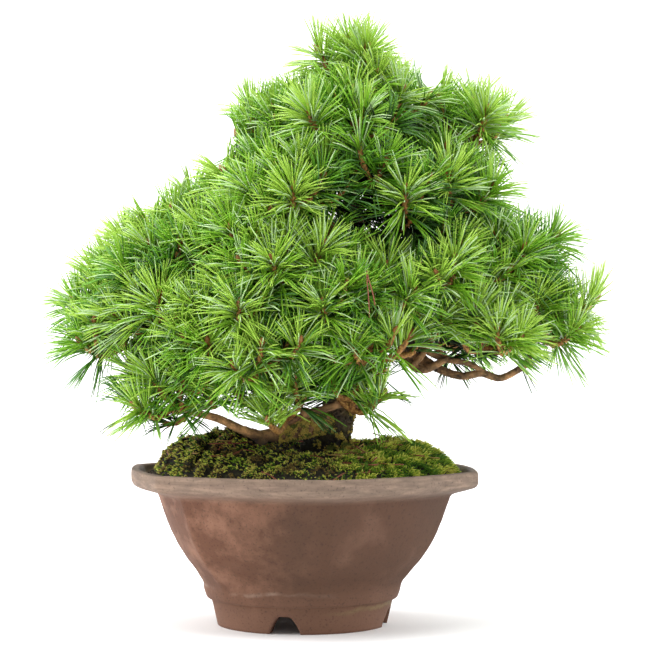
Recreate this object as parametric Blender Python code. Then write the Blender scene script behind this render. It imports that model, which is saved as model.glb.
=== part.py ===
"""Japanese white pine bonsai in a six-sided clay pot, as named solids.

The tree stands in a mound of soil and moss. Its trunk rises with a slight S-bend, boughs leave it on all
sides, and every bough carries one or more masses of needle tufts. Each mass is one solid: a stem, twigs
that branch from it by rule, and on each twig a slim core with needles standing out of it.

Metres, +Z up. The front is -Y and the right is +X. The pot's underside is at Z = 0, and the origin lies
under the middle of the whole plant.
"""

import math
import random

import bmesh
import bpy
from mathutils import Matrix, Vector

MM = 0.001
GAP = 0.3 * MM  # air kept between neighbouring solids

# Where the pot's axis stands, so that the origin is under the middle of the whole plant
POT_AXIS = Vector((-11.9 * MM, -2.5 * MM, 0.0))

# Pot: half widths are those at a corner of the six-sided plan
POT_SIDES = 6
POT_STEPS = 36  # points round the pot
POT_TURN = math.radians(-78.5)  # compass angle of one corner, a little right of the front
POT_FLATNESS = 0.5  # 0 is round, 1 has flat sides
RIM_TOP = 89 * MM
WALL = 6 * MM
FOOT_HEIGHT = 15.4 * MM
FOOT_TOP_RADIUS = 51.8 * MM
FOOT_RADIUS = 48.8 * MM
FOOT_WALL = 9 * MM
RECESS_HEIGHT = 12 * MM
FLOOR_TOP = 20 * MM
NOTCHES = 4
NOTCH_TURN = math.radians(-101)  # compass angle of the notch nearest the front
NOTCH_WIDTH = 17 * MM
NOTCH_TOP_WIDTH = 7 * MM
NOTCH_HEIGHT = 10 * MM
NOTCH_REACH = (31 * MM, 57 * MM)  # how far from the axis each notch is cut

# Soil and moss
SOIL_EDGE = 83.8 * MM
SOIL_CROWN = 97.5 * MM  # the flat top that the trunk stands on
COLLAR = 21 * MM  # radius of that flat top
SOIL_FALL = 1.7  # the power of the way out by which the soil falls from its crown to its edge
SOIL_REACH = 94.6 * MM
GROUND_STEPS = 24
GROUND_SHARES = (1.0, 0.8, 0.6, 0.4, 0.2, 0.0)
# The soil's side inside the pot: corner radius, height and six-sidedness
SOIL_SIDE = (
    (48.0 * MM, FLOOR_TOP + GAP, 0.5),
    (63.1 * MM, 36.4 * MM, 0.9),
    (75.5 * MM, 58.2 * MM, 1),
    (81.4 * MM, 76.7 * MM, 1),
)
MOSS_RINGS = 6
MOSS_GAP = 0.45 * MM
MOSS_THIN = 1.8 * MM
MOSS_START = 0.06  # how far out from the collar the moss begins, as a share of the way to the pot
MOSS_END = 0.94
MOSS_SHOULDER = 0.15  # how quickly its two edges rise, and the share of its depth that they start from
MOSS_LIP = 0.15
# Each cushion: compass angle, share of the way to the pot, height, width as a share, spread round the pot
CUSHIONS = (
    (math.radians(176), 0.58, 13.5 * MM, 0.40, math.radians(50)),
    (math.radians(3), 0.52, 9.0 * MM, 0.42, math.radians(44)),
    (math.radians(92), 0.45, 6.0 * MM, 0.36, math.radians(55)),
    (math.radians(-70), 0.60, 2.5 * MM, 0.30, math.radians(40)),
)

# Trunk: distance right of the pot's axis, distance behind it, height, radius, all in millimetres
TRUNK_ROUTE = (
    (14, 0, 97.8, 15.5),
    (15, 0, 101, 12.5),
    (17, 0, 108, 10.4),
    (21, 1, 122, 9.4),
    (26, 3, 142, 9.0),
    (30, 6, 166, 8.4),
    (33, 6, 190, 7.0),
    (32, 3, 214, 5.8),
    (28, 0, 240, 4.7),
    (26, -3, 266, 3.6),
    (28, -4, 286, 2.7),
    (26, -4, 305, 2.0),
)
TRUNK_SIDES = 12
ROOT_LOBES = 5
ROOT_TURN = 0.7  # radians by which the lobes are turned
ROOT_SPREAD = 0.13
ROOT_FADE = 7 * MM

# Boughs in general: each ends in a knuckle, from which the stems of its masses leave
BOUGH_STEPS = 2
BOUGH_SIDES = 6
BOUGH_TAPER = 0.9
KNUCKLE = 3.2 * MM
KNUCKLE_BEHIND = 2.9 * MM  # where the swelling starts and ends along the bough, from its tip
KNUCKLE_AHEAD = 2.6 * MM
KNUCKLE_END = 1.8 * MM  # its radius there

# Shoots and needles
CORE_LENGTH = 14 * MM
CORE_RADIUS = 2.8 * MM
LEADER = 8 * MM  # from a mass's fork to the foot of its leading shoot
TWIG_RADIUS = 1.0 * MM
STEM_RADIUS = 1.25 * MM
STEM_SIDES = 4
STEM_GAP = 0.45 * MM
STEM_TIP_RADIUS = 1.05 * MM
STEM_ACROSS = 0.35  # a stem that climbs along the trunk more steeply than this leaves it further out
LEADER_SIDES = 5  # a core has this many sides, and three bundles on each
SHOOT_SIDES = 4
SIDE_TILT = math.radians(64)  # how far the side shoots lean from the leading one
TIGHTER = (1.0, 0.8, 0.62, 0.45)  # shares of that lean, tried in turn where a side shoot has no room
LEAST_SPREAD = 0.55  # share of the spread that a side shoot keeps however little it leans
NEEDLE = 25 * MM
BUNDLE_TILTS = (math.radians(78), math.radians(58), math.radians(26))
NEEDLE_LIFT = 0.10  # how much a needle bundle turns up
NEEDLE_YOUNGEST = 0.92  # the shortest bundles, as a share of the longest
NEEDLE_HANG = 0.30  # a bundle that points straight down is shorter by this share
NEEDLE_MARGIN = 1.2 * MM  # air kept between a bundle's line and a limb
NEEDLE_SHARES = (1.0, 0.8, 0.6, 0.42)  # a bundle that has no room is tried shorter
BUNDLE_RADIUS = 0.8 * MM
TILT_PLAY = 0.12
CORE_LOW = 0.22  # where the widest part of a core starts and ends, as shares of its length
CORE_HIGH = 0.72
CORE_LOW_RADIUS = 2.4 * MM
KNOB_RADIUS = 3.0 * MM  # the swelling at a mass's fork
TWIG_START = 0.4 * MM  # from the fork's middle
CLEAR = 0.9 * MM  # air kept to the border of a mass's space
CELL_REACH = 62 * MM  # nothing of a mass is further from its middle
LEAF_FLOOR = 112 * MM  # no needle hangs lower
GROWTH_FOCUS = Vector((18 * MM, 6 * MM, 96 * MM))  # shoots point away from here
LIGHT_PULL = 0.30  # and turn this much up
CANDLE_PULL = 0.30  # a shoot's own end turns up by this much more

# Boughs: height on the trunk where one starts, way points, tip, radius at the trunk and at the tip
BOUGHS = {
    "bough_left_low": (
        116,
        ((2, -13, 113), (-20, -27, 108.5), (-33, -31, 112), (-48, -36, 119)),
        (-70, -40, 124),
        6.6,
        1.8,
    ),
    "bough_left_far": (150, ((4, 10, 156), (-34, 10, 164)), (-84, 2, 172), 5.2, 2.0),
    "bough_left": (178, ((8, 10, 188), (-24, 12, 198)), (-62, 4, 210), 4.6, 1.9),
    "bough_left_up": (232, ((14, 0, 243),), (-12, -6, 257), 3.2, 1.7),
    "bough_front_left": (138, ((14, -18, 146), (-4, -36, 154)), (-20, -46, 162), 4.6, 1.9),
    "bough_front_low": (122, ((36, -20, 127), (26, -38, 128), (12, -42, 124)), (2, -44, 122), 3.0, 1.7),
    "bough_front_right": (130, ((34, -13, 138),), (40, -32, 148), 3.8, 1.8),
    "bough_front": (164, ((28, -20, 172),), (20, -40, 184), 4.4, 1.9),
    "bough_front_up": (204, ((20, -16, 211),), (2, -34, 222), 3.6, 1.8),
    "bough_right_low": (
        172,
        ((54, 2, 167), (64, 0, 154), (77, -4, 146), (90, -8, 141.5), (102, -8, 143), (114, -6, 140.5)),
        (129, -8, 149),
        6.6,
        1.8,
    ),
    "bough_right_inner": (180, ((56, 14, 184), (72, 10, 178)), (86, 2, 170), 4.2, 1.8),
    "bough_right": (196, ((54, 0, 206),), (84, -4, 214), 4.0, 1.9),
    "bough_right_up": (228, ((50, 0, 242),), (74, -2, 260), 3.4, 1.8),
    "bough_back": (156, ((26, 26, 164),), (16, 46, 174), 4.6, 2.0),
}

# Masses: the limb (a bough, or a height on the trunk), the middle of the leading shoot (right, behind, up),
# how many shoots, and how far the side shoots stand from the fork
MASSES = {
    "apex": (305, 27, -4, 324, 4, 11),
    "apex_right": (284, 45, -10, 299, 5, 14),
    "apex_left": (280, -4, 0, 289, 4, 13),
    "apex_front": (266, 18, -38, 285, 5, 15),
    "apex_back": (272, 30, 38, 300, 5, 17),
    "upper_left": ("bough_left_up", -18, 0, 277, 4, 13),
    "upper_left_front": ("bough_left_up", -24, -36, 254, 4, 14),
    "upper_left_back": ("bough_left_up", -8, 54, 262, 5, 17),
    "upper_right": ("bough_right_up", 98, 0, 288, 5, 15),
    "upper_right_front": ("bough_right_up", 88, -26, 249, 5, 15),
    "upper_right_back": ("bough_right_up", 70, 48, 264, 5, 17),
    "heart_right": (224, 58, -44, 243, 4, 14),
    "heart": (238, 30, -46, 259, 4, 14),
    "front_bright": ("bough_front_up", -9, -58, 244, 5, 14),
    "front_mid_left": ("bough_front_up", -37, -50, 224, 5, 14),
    "front_mid": ("bough_front_up", -8, -72, 208, 5, 14),
    "left_upper": ("bough_left", -62, 0, 235, 5, 15),
    "left_mid": ("bough_left", -100, 10, 210, 4, 14),
    "left_mid_front": ("bough_left", -83, -32, 206, 4, 14),
    "left_back": ("bough_left", -60, 52, 206, 5, 17),
    "left_far": ("bough_left_far", -117, 8, 190, 4, 13),
    "left_far_low": ("bough_left_far", -113, -14, 168, 4, 13),
    "left_front": ("bough_left_far", -88, -44, 181, 4, 14),
    "left_low_back": ("bough_left_far", -64, 50, 162, 5, 17),
    "left_low": ("bough_left_low", -80, -52, 135, 4, 13),
    "left_low_inner": ("bough_left_low", -52, -64, 165, 4, 14),
    "front_left": ("bough_front_left", -38, -72, 184, 5, 15),
    "front_low_left": ("bough_front_left", -26, -78, 156, 4, 14),
    "front_low": ("bough_front_low", -14, -62, 127, 4, 12),
    "front_low_right": ("bough_front_right", 30, -54, 134, 3, 9),
    "front_right_inner": ("bough_front_right", 40, -66, 163, 4, 13),
    "front_middle": ("bough_front", 14, -72, 186, 5, 14),
    "front_right": ("bough_front", 46, -64, 192, 5, 14),
    "right_low_inner": ("bough_right_inner", 74, -36, 178, 4, 14),
    "right_low": ("bough_right_inner", 111, -38, 170, 5, 14),
    "right_low_back": ("bough_right_inner", 90, 48, 171, 5, 17),
    "right_far": ("bough_right_low", 144, -12, 174, 5, 14),
    "right": ("bough_right", 123, -10, 211, 5, 14),
    "right_inner": ("bough_right", 86, -44, 206, 4, 14),
    "right_back": ("bough_right", 104, 46, 218, 5, 17),
    "back_low": ("bough_back", 12, 66, 165, 5, 17),
    "back": ("bough_back", 20, 76, 206, 5, 17),
}


def place(right, back, up):
    """A point given in millimetres from the pot's axis, in the part's frame."""
    return Vector((right * MM, back * MM, up * MM)) + POT_AXIS


def unit(vector):
    return vector.normalized()


def material(name, colour, roughness):
    made = bpy.data.materials.new(name)
    made.use_nodes = True
    shader = made.node_tree.nodes["Principled BSDF"]
    shader.inputs["Base Color"].default_value = (*colour, 1.0)
    shader.inputs["Roughness"].default_value = roughness
    return made


def add_object(name, points, faces, finish=None, collection=None):
    mesh = bpy.data.meshes.new(name)
    mesh.from_pydata([tuple(p) for p in points], [], faces)
    mesh.validate()
    obj = bpy.data.objects.new(name, mesh)
    (collection or bpy.context.scene.collection).objects.link(obj)
    if finish:
        mesh.materials.append(finish)
    return obj


def apply_modifiers(obj):
    """Makes the mesh what its modifiers give, and removes them."""
    graph = bpy.context.evaluated_depsgraph_get()
    graph.update()
    made = bpy.data.meshes.new_from_object(obj.evaluated_get(graph))
    old = obj.data
    obj.modifiers.clear()
    obj.data = made
    bpy.data.meshes.remove(old)


def cut(obj, cutters):
    """Takes the cutters' volume out of obj, and removes them."""
    for cutter in cutters:
        boolean = obj.modifiers.new("cut", "BOOLEAN")
        boolean.operation = "DIFFERENCE"
        boolean.solver = "EXACT"
        boolean.object = cutter
    apply_modifiers(obj)
    for cutter in cutters:
        bpy.data.objects.remove(cutter)


def smooth_route(points, steps):
    """A Catmull-Rom curve through the points (tuples of any length), with steps spans between each two."""
    ends = [points[0], *points, points[-1]]
    route = []
    for i in range(len(points) - 1):
        a, b, c, d = ends[i : i + 4]
        for k in range(steps):
            t = k / steps
            route.append(
                tuple(
                    0.5
                    * (
                        2 * q
                        + (r - p) * t
                        + (2 * p - 5 * q + 4 * r - s) * t**2
                        + (3 * q - p - 3 * r + s) * t**3
                    )
                    for p, q, r, s in zip(a, b, c, d)
                )
            )
    route.append(tuple(points[-1]))
    return route


def tube(centres, radii, sides, lobes=None):
    """Points and faces of a closed tapering tube. lobes(angle, ring) scales the radius."""
    axis = unit(centres[1] - centres[0])
    across = unit(axis.orthogonal())
    points = []
    for i, (centre, radius) in enumerate(zip(centres, radii)):
        ahead = centres[min(i + 1, len(centres) - 1)]
        behind = centres[max(i - 1, 0)]
        axis = unit(ahead - behind)
        across = unit(across - axis * across.dot(axis))
        other = axis.cross(across)
        for k in range(sides):
            angle = 2 * math.pi * k / sides
            size = radius * (lobes(angle, i) if lobes else 1.0)
            points.append(centre + (across * math.cos(angle) + other * math.sin(angle)) * size)
    faces = []
    for i in range(len(centres) - 1):
        for k in range(sides):
            a, b = i * sides + k, i * sides + (k + 1) % sides
            faces.append((a, b, b + sides, a + sides))
    faces.append(tuple(reversed(range(sides))))
    last = (len(centres) - 1) * sides
    faces.append(tuple(range(last, last + sides)))
    return points, faces


def six_sided(angle):
    """Share of the corner radius that the pot has at a compass angle."""
    span = 2 * math.pi / POT_SIDES
    off = (angle - POT_TURN + span / 2) % span - span / 2
    flat = math.cos(span / 2) / math.cos(span / 2 - abs(off))
    return 1 - POT_FLATNESS * (1 - flat)


def ring_solid(name, profile, steps, finish):
    """A closed solid turned from a closed profile of (corner radius, height, six-sidedness)."""
    points, faces = [], []
    count = len(profile)
    for k in range(steps):
        angle = 2 * math.pi * k / steps + POT_TURN
        for radius, height, shaped in profile:
            reach = radius * (1 + (six_sided(angle) - 1) * shaped)
            points.append(
                POT_AXIS + Vector((reach * math.cos(angle), reach * math.sin(angle), height))
            )
    for k in range(steps):
        for i in range(count):
            a, b = k * count + i, k * count + (i + 1) % count
            c, d = ((k + 1) % steps) * count + i, ((k + 1) % steps) * count + (i + 1) % count
            faces.append((a, c, d, b))
    obj = add_object(name, points, faces, finish)
    close_poles(obj)
    return obj


def close_poles(obj):
    """Joins the points that fall together on the axis, and turns the faces out."""
    mesh = bmesh.new()
    mesh.from_mesh(obj.data)
    bmesh.ops.remove_doubles(mesh, verts=mesh.verts, dist=0.01 * MM)
    bmesh.ops.recalc_face_normals(mesh, faces=mesh.faces)
    mesh.to_mesh(obj.data)
    mesh.free()


def pot_profile():
    """Outer wall from the foot up, over the flared lip, and down the inside, then the recess underneath."""
    outer = (
        (FOOT_RADIUS - 2 * MM, 0, 0),
        (FOOT_RADIUS, 2 * MM, 0),
        (FOOT_TOP_RADIUS, FOOT_HEIGHT, 0),
        (54.8 * MM, 16.2 * MM, 0.2),
        (57.0 * MM, 19 * MM, 0.4),
        (58.4 * MM, 24.2 * MM, 0.5),
        (65.2 * MM, 32.5 * MM, 0.8),
        (72.6 * MM, 41 * MM, 0.9),
        (80.6 * MM, 54.5 * MM, 1),
        (88 * MM, 75 * MM, 1),
        (102.4 * MM, 80.5 * MM, 1),
        (104.4 * MM, 83 * MM, 1),
        (103.8 * MM, 88 * MM, 1),
        (101.8 * MM, RIM_TOP, 1),
    )
    inner = (
        (98.9 * MM, 88 * MM, 1),
        (95.9 * MM, 83.5 * MM, 1),
        (82.4 * MM, 76.5 * MM, 1),
        (76.2 * MM, 58 * MM, 1),
        (63.8 * MM, 36 * MM, 0.9),
        (49 * MM, FLOOR_TOP, 0.5),
        (0, FLOOR_TOP, 0),
    )
    under = (
        (0, RECESS_HEIGHT, 0),
        (FOOT_RADIUS - FOOT_WALL, RECESS_HEIGHT, 0),
        (FOOT_RADIUS - FOOT_WALL, 0, 0),
    )
    return outer + inner + under


def notch_cutter(number):
    """A prism of arched section through the foot ring, pointing outwards."""
    turn = NOTCH_TURN + 2 * math.pi * number / NOTCHES
    outline = [
        (-NOTCH_WIDTH / 2, -2 * MM),
        (-NOTCH_WIDTH / 2 + 1.2 * MM, 2.5 * MM),
        (-NOTCH_TOP_WIDTH / 2 - 0.8 * MM, 7.6 * MM),
        (-NOTCH_TOP_WIDTH / 2 + 1 * MM, NOTCH_HEIGHT - 0.4 * MM),
        (0, NOTCH_HEIGHT),
    ]
    outline += [(-x, z) for x, z in reversed(outline[:-1])]
    points = [Vector((reach, x, z)) for reach in NOTCH_REACH for x, z in outline]
    turned = Matrix.Rotation(turn, 4, "Z")
    points = [turned @ p + POT_AXIS for p in points]
    n = len(outline)
    faces = [(i, (i + 1) % n, n + (i + 1) % n, n + i) for i in range(n)]
    faces += [tuple(reversed(range(n))), tuple(range(n, 2 * n))]
    cutter = add_object(f"notch_{number}", points, faces)
    close_poles(cutter)
    return cutter


def make_pot(finish):
    pot = ring_solid("pot", pot_profile(), POT_STEPS, finish)
    cut(pot, [notch_cutter(i) for i in range(NOTCHES)])
    return pot


def ground(share, angle):
    """A point of the soil's surface: share 0 is the trunk's collar and 1 the edge at the pot."""
    foot = place(TRUNK_ROUTE[0][0], TRUNK_ROUTE[0][1], 0)
    inner = foot + Vector((math.cos(angle), math.sin(angle), 0)) * COLLAR
    reach = SOIL_REACH * six_sided(angle)
    outer = POT_AXIS + Vector((math.cos(angle), math.sin(angle), 0)) * reach
    point = inner.lerp(outer, share)
    point.z = SOIL_CROWN - (SOIL_CROWN - SOIL_EDGE) * max(share, 0) ** SOIL_FALL
    return point


def moss_depth(share, angle):
    """Thickness of the moss over the soil: a thin mat with a few cushions."""
    depth = MOSS_THIN
    for compass, centre, height, width, spread in CUSHIONS:
        turn = (angle - compass + math.pi) % (2 * math.pi) - math.pi
        depth += height * math.exp(-(((share - centre) / width) ** 4) - (turn / spread) ** 2)
    to_edge = max(min(MOSS_END - share, share - MOSS_START), 0) / MOSS_SHOULDER
    return depth * min(1.0, MOSS_LIP + math.sqrt(to_edge))


def make_soil(finish):
    """Fills the pot from its floor, and rises to the flat top under the trunk."""
    rings = []
    angles = [2 * math.pi * k / GROUND_STEPS + POT_TURN for k in range(GROUND_STEPS)]
    for radius, height, shaped in SOIL_SIDE:
        rings.append(
            [
                POT_AXIS
                + Vector((math.cos(a), math.sin(a), 0)) * radius * (1 + (six_sided(a) - 1) * shaped)
                + Vector((0, 0, height))
                for a in angles
            ]
        )
    for share in GROUND_SHARES:
        rings.append([ground(share, a) for a in angles])
    points = [p for ring in rings for p in ring]
    faces = []
    n = GROUND_STEPS
    for i in range(len(rings) - 1):
        for k in range(n):
            a, b = i * n + k, i * n + (k + 1) % n
            faces.append((a, b, b + n, a + n))
    faces.append(tuple(reversed(range(n))))
    faces.append(tuple(range((len(rings) - 1) * n, len(rings) * n)))
    return add_object("soil", points, faces, finish)


def make_moss(finish):
    """A mat laid on the soil round the trunk's collar, closed like a tyre."""
    n = GROUND_STEPS
    angles = [2 * math.pi * k / n + POT_TURN for k in range(n)]
    shares = [MOSS_START + (MOSS_END - MOSS_START) * i / MOSS_RINGS for i in range(MOSS_RINGS + 1)]
    lift = Vector((0, 0, 1))
    rings = [[ground(s, a) + lift * MOSS_GAP for a in angles] for s in shares]
    rings += [
        [ground(s, a) + lift * (MOSS_GAP + moss_depth(s, a)) for a in angles] for s in reversed(shares)
    ]
    points = [p for ring in rings for p in ring]
    faces = []
    for i in range(len(rings)):
        j = (i + 1) % len(rings)
        for k in range(n):
            after = (k + 1) % n
            faces.append((i * n + k, i * n + after, j * n + after, j * n + k))
    moss = add_object("moss", points, faces, finish)
    close_poles(moss)
    return moss


def trunk_lobes(heights):
    """Root flare: the foot bulges into a few lobes that fade upwards."""

    def scale(angle, ring):
        fade = math.exp(-(heights[ring] - heights[0]) / ROOT_FADE)
        return 1 + ROOT_SPREAD * fade * math.cos(ROOT_LOBES * angle + ROOT_TURN)

    return scale


def trunk_line():
    """The trunk's centres and radii, in metres."""
    route = smooth_route(TRUNK_ROUTE, 2)
    return [place(x, y, z) for x, y, z, _ in route], [r * MM for *_, r in route]


def make_trunk(finish, grow=0.0, name="trunk"):
    centres, radii = trunk_line()
    heights = [c.z for c in centres]
    points, faces = tube(centres, [r + grow for r in radii], TRUNK_SIDES, trunk_lobes(heights))
    if grow == 0.0:
        for p in points[:TRUNK_SIDES]:
            p.z = heights[0]  # the flat cut at ground level
    return add_object(name, points, faces, finish)


def trunk_at(height):
    """The trunk's centre and radius at a height in metres."""
    centres, radii = trunk_line()
    for (low, high), (a, b) in zip(zip(centres, centres[1:]), zip(radii, radii[1:])):
        if low.z <= height <= high.z:
            t = (height - low.z) / (high.z - low.z)
            return low.lerp(high, t), a + (b - a) * t
    return centres[-1], radii[-1]


def bough_line(row):
    """A bough's centres and radii: from inside the trunk, by its way points, to its tip's knuckle."""
    start, way, tip, thick, thin = row
    foot, _ = trunk_at(start * MM)
    points = [tuple(foot)] + [tuple(place(*p)) for p in (*way, tip)]
    centres = [Vector(p) for p in smooth_route(points, BOUGH_STEPS)]
    last = len(centres) - 1
    radii = [(thin + (thick - thin) * (1 - i / last) ** BOUGH_TAPER) * MM for i in range(last)]
    ahead = unit(centres[-1] - centres[-2])
    tip = centres.pop()
    centres += [tip - ahead * KNUCKLE_BEHIND, tip, tip + ahead * KNUCKLE_AHEAD]
    radii += [thin * MM, KNUCKLE, KNUCKLE_END]
    return centres, radii


def make_bough(name, finish):
    centres, radii = bough_line(BOUGHS[name])
    points, faces = tube(centres, radii, BOUGH_SIDES)
    bough = add_object(name, points, faces, finish)
    cut(bough, [make_trunk(None, GAP, "trunk_grown")])
    keep_largest(bough)
    return bough


def keep_largest(obj):
    """Drops every loose scrap but the largest connected body."""
    mesh = bmesh.new()
    mesh.from_mesh(obj.data)
    unseen, bodies = set(mesh.verts), []
    while unseen:
        body, edge = set(), [unseen.pop()]
        while edge:
            vert = edge.pop()
            body.add(vert)
            for link in vert.link_edges:
                other = link.other_vert(vert)
                if other in unseen:
                    unseen.remove(other)
                    edge.append(other)
        bodies.append(body)
    bodies.sort(key=len, reverse=True)
    for body in bodies[1:]:
        bmesh.ops.delete(mesh, geom=list(body), context="VERTS")
    mesh.to_mesh(obj.data)
    mesh.free()


def nearest(p, q, a, b):
    """Least distance between the segments p-q and a-b."""
    u, v, w = q - p, b - a, p - a
    uu, uv, vv, uw, vw = u.dot(u), u.dot(v), v.dot(v), u.dot(w), v.dot(w)
    span = uu * vv - uv * uv
    s = min(max((uv * vw - vv * uw) / span, 0), 1) if span > 1e-18 else 0.0
    t = min(max((uv * s + vw) / vv, 0), 1) if vv > 1e-18 else 0.0
    s = min(max((uv * t - uw) / uu, 0), 1) if uu > 1e-18 else 0.0
    return (w + u * s - v * t).length


def limb_pieces(centres, radii):
    """A limb as short straight stretches: start, end and the larger radius."""
    return [
        (centres[i], centres[i + 1], max(radii[i], radii[i + 1])) for i in range(len(centres) - 1)
    ]


class Mass:
    """One mass of foliage: where it leaves its limb, where it forks, its aim and its neighbours."""

    def __init__(self, name):
        limb, x, y, z, self.shoots, self.spread = MASSES[name]
        self.name = name
        self.random = random.Random(name)
        self.heart = place(x, y, z)
        away = unit(self.heart - (GROWTH_FOCUS + POT_AXIS))
        self.aim = unit(away + Vector((0, 0, LIGHT_PULL)))
        self.fork = self.heart - self.aim * (CORE_LENGTH / 2 + LEADER)
        self.middle = self.heart - self.aim * CORE_LENGTH / 2
        if isinstance(limb, str):
            centres, _ = bough_line(BOUGHS[limb])
            root, radius = centres[-2], KNUCKLE
        else:
            root, radius = trunk_at(limb * MM)
        way = self.fork - root
        if not isinstance(limb, str):
            across = math.hypot(way.x, way.y) / way.length
            radius = radius / across if across > STEM_ACROSS else radius
        self.root = root + unit(way) * (radius + STEM_GAP)

    def find_borders(self, others):
        """The planes halfway to every other mass that is near."""
        self.borders = []
        for other in others:
            way = other.middle - self.middle
            if other is not self and way.length < 2 * CELL_REACH:
                self.borders.append((unit(way), (self.middle + other.middle) / 2))

    def inside(self, point, margin):
        """True where the point is in the mass's own space, with the margin to spare."""
        if point.z < LEAF_FLOOR + margin:
            return False
        return all((point - middle).dot(out) < -margin for out, middle in self.borders)

    def free(self, start, end, radius):
        """True where a stretch of twig or needle touches no limb and no other mass's stem."""
        return all(nearest(start, end, a, b) > radius + thick for a, b, thick in self.obstacles)

    def find_obstacles(self, pieces, others):
        """The stretches of limb, and the other stems, that this mass could reach."""
        stems = [(o.root, o.fork, STEM_RADIUS) for o in others if o is not self]
        reach = CELL_REACH + STEM_RADIUS
        self.obstacles = [
            (a, b, thick)
            for a, b, thick in pieces + stems
            if nearest(a, b, self.middle, self.fork) < reach + thick
        ]

    def shoot_ways(self):
        """Foot and direction of each shoot: a leader along the aim, and the others leaning round it."""
        across = unit(self.aim.orthogonal())
        other = self.aim.cross(across)
        turn = self.random.uniform(0, 2 * math.pi)
        yield 0, [(self.fork + self.aim * LEADER, unit(self.aim + Vector((0, 0, CANDLE_PULL))))]
        for k in range(1, self.shoots):
            angle = turn + 2 * math.pi * k / (self.shoots - 1)
            side = across * math.cos(angle) + other * math.sin(angle)
            tries = []
            for share in TIGHTER:
                tilt = SIDE_TILT * share
                lean = self.aim * math.cos(tilt) + side * math.sin(tilt)
                stand = self.spread * (LEAST_SPREAD + (1 - LEAST_SPREAD) * share) * MM
                foot = self.fork + lean * stand
                tries.append((foot, unit(lean + Vector((0, 0, LIGHT_PULL + CANDLE_PULL)))))
            yield k, tries

    def choose_shoots(self):
        """Number, foot and direction of the shoots that have room. self.grown then holds every stretch of
        stem, twig and core, as its start, end, radius and shoot."""
        chosen = []
        self.grown = [(self.root, self.fork, STEM_RADIUS, None)]
        for number, tries in self.shoot_ways():
            for foot, way in tries:
                end = foot + way * CORE_LENGTH
                room = all(self.inside(p, CORE_RADIUS + CLEAR) for p in (foot, end))
                clear = self.free(foot, end, CORE_RADIUS + CLEAR)
                clear = clear and self.free(self.fork, foot, TWIG_RADIUS + GAP)
                apart = all(
                    nearest(foot, end, a, b) > CORE_RADIUS + thick + CLEAR
                    for a, b, thick, _ in self.grown
                    if thick == CORE_RADIUS
                )
                if room and clear and apart:
                    chosen.append((number, foot, way))
                    self.grown.append((foot, end, CORE_RADIUS, number))
                    self.grown.append((self.fork, foot, TWIG_RADIUS, number))
                    break
        return chosen

    def build(self, finish):
        """The stem, a knob at its fork, and the shoots on their twigs, joined into one solid."""
        shoots = bpy.data.collections.new(self.name + "_shoots")
        bpy.context.scene.collection.children.link(shoots)
        points, faces = tube([self.root, self.fork], [STEM_RADIUS, STEM_TIP_RADIUS], STEM_SIDES)
        body = add_object(self.name, points, faces, finish)
        knob = bmesh.new()
        bmesh.ops.create_icosphere(
            knob, subdivisions=1, radius=KNOB_RADIUS, matrix=Matrix.Translation(self.fork)
        )
        self.add_part(knob, "knob", shoots)
        for number, foot, way in self.choose_shoots():
            self.add_shoot(number, foot, way, shoots)
        union = body.modifiers.new("join", "BOOLEAN")
        union.operation = "UNION"
        union.solver = "EXACT"
        union.operand_type = "COLLECTION"
        union.collection = shoots
        apply_modifiers(body)
        for obj in list(shoots.objects):
            bpy.data.objects.remove(obj)
        bpy.data.collections.remove(shoots)
        keep_largest(body)
        return body

    def add_part(self, mesh, label, shoots):
        """Closes a bmesh into an object of the mass's collection."""
        bmesh.ops.recalc_face_normals(mesh, faces=mesh.faces)
        made = bpy.data.meshes.new(f"{self.name}_{label}")
        mesh.to_mesh(made)
        mesh.free()
        shoots.objects.link(bpy.data.objects.new(made.name, made))

    def add_shoot(self, number, foot, way, shoots):
        """A twig that swells into a slim core, with a bundle of needles pulled out of each of its faces."""
        sides = LEADER_SIDES if number == 0 else SHOOT_SIDES
        across = unit(way.orthogonal())
        other = way.cross(across)
        turn = self.random.uniform(0, 2 * math.pi)
        mesh = bmesh.new()
        levels = [
            (self.fork + unit(foot - self.fork) * TWIG_START, TWIG_RADIUS, 0.0),
            (foot, TWIG_RADIUS, 0.0),
            (foot + way * CORE_LENGTH * CORE_LOW, CORE_LOW_RADIUS, 0.0),
            (foot + way * CORE_LENGTH * CORE_HIGH, CORE_RADIUS, 0.5),
        ]
        rings = []
        for centre, radius, shift in levels:
            ring = []
            for k in range(sides):
                angle = turn + 2 * math.pi * (k + shift) / sides
                out = across * math.cos(angle) + other * math.sin(angle)
                ring.append(mesh.verts.new(centre + out * radius))
            rings.append(ring)
        end = mesh.verts.new(foot + way * CORE_LENGTH)
        mesh.faces.new(tuple(reversed(rings[0])))
        bundles = []
        for k in range(sides):
            n = (k + 1) % sides
            mesh.faces.new((rings[0][k], rings[0][n], rings[1][n], rings[1][k]))
            mesh.faces.new((rings[1][k], rings[1][n], rings[2][n], rings[2][k]))
            a, b, c, d = rings[2][k], rings[2][n], rings[3][k], rings[3][n]
            corners = ((a, b, c), (c, b, d), (c, d, end))
            bundles += [(mesh.faces.new(three), tilt) for three, tilt in zip(corners, BUNDLE_TILTS)]
        for face, tilt in bundles:
            middle = face.calc_center_median()
            out = unit((middle - foot) - way * way.dot(middle - foot))
            lean = tilt + self.random.uniform(-TILT_PLAY, TILT_PLAY)
            along = unit(way * math.cos(lean) + out * math.sin(lean) + Vector((0, 0, NEEDLE_LIFT)))
            hang = 1 + NEEDLE_HANG * min(along.z, 0)
            full = NEEDLE * hang * self.random.uniform(NEEDLE_YOUNGEST, 1.0)
            for share in NEEDLE_SHARES:
                tip = middle + along * full * share
                if self.has_room(middle, tip, number):
                    poked = bmesh.ops.poke(mesh, faces=[face])
                    poked["verts"][0].co = tip
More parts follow.
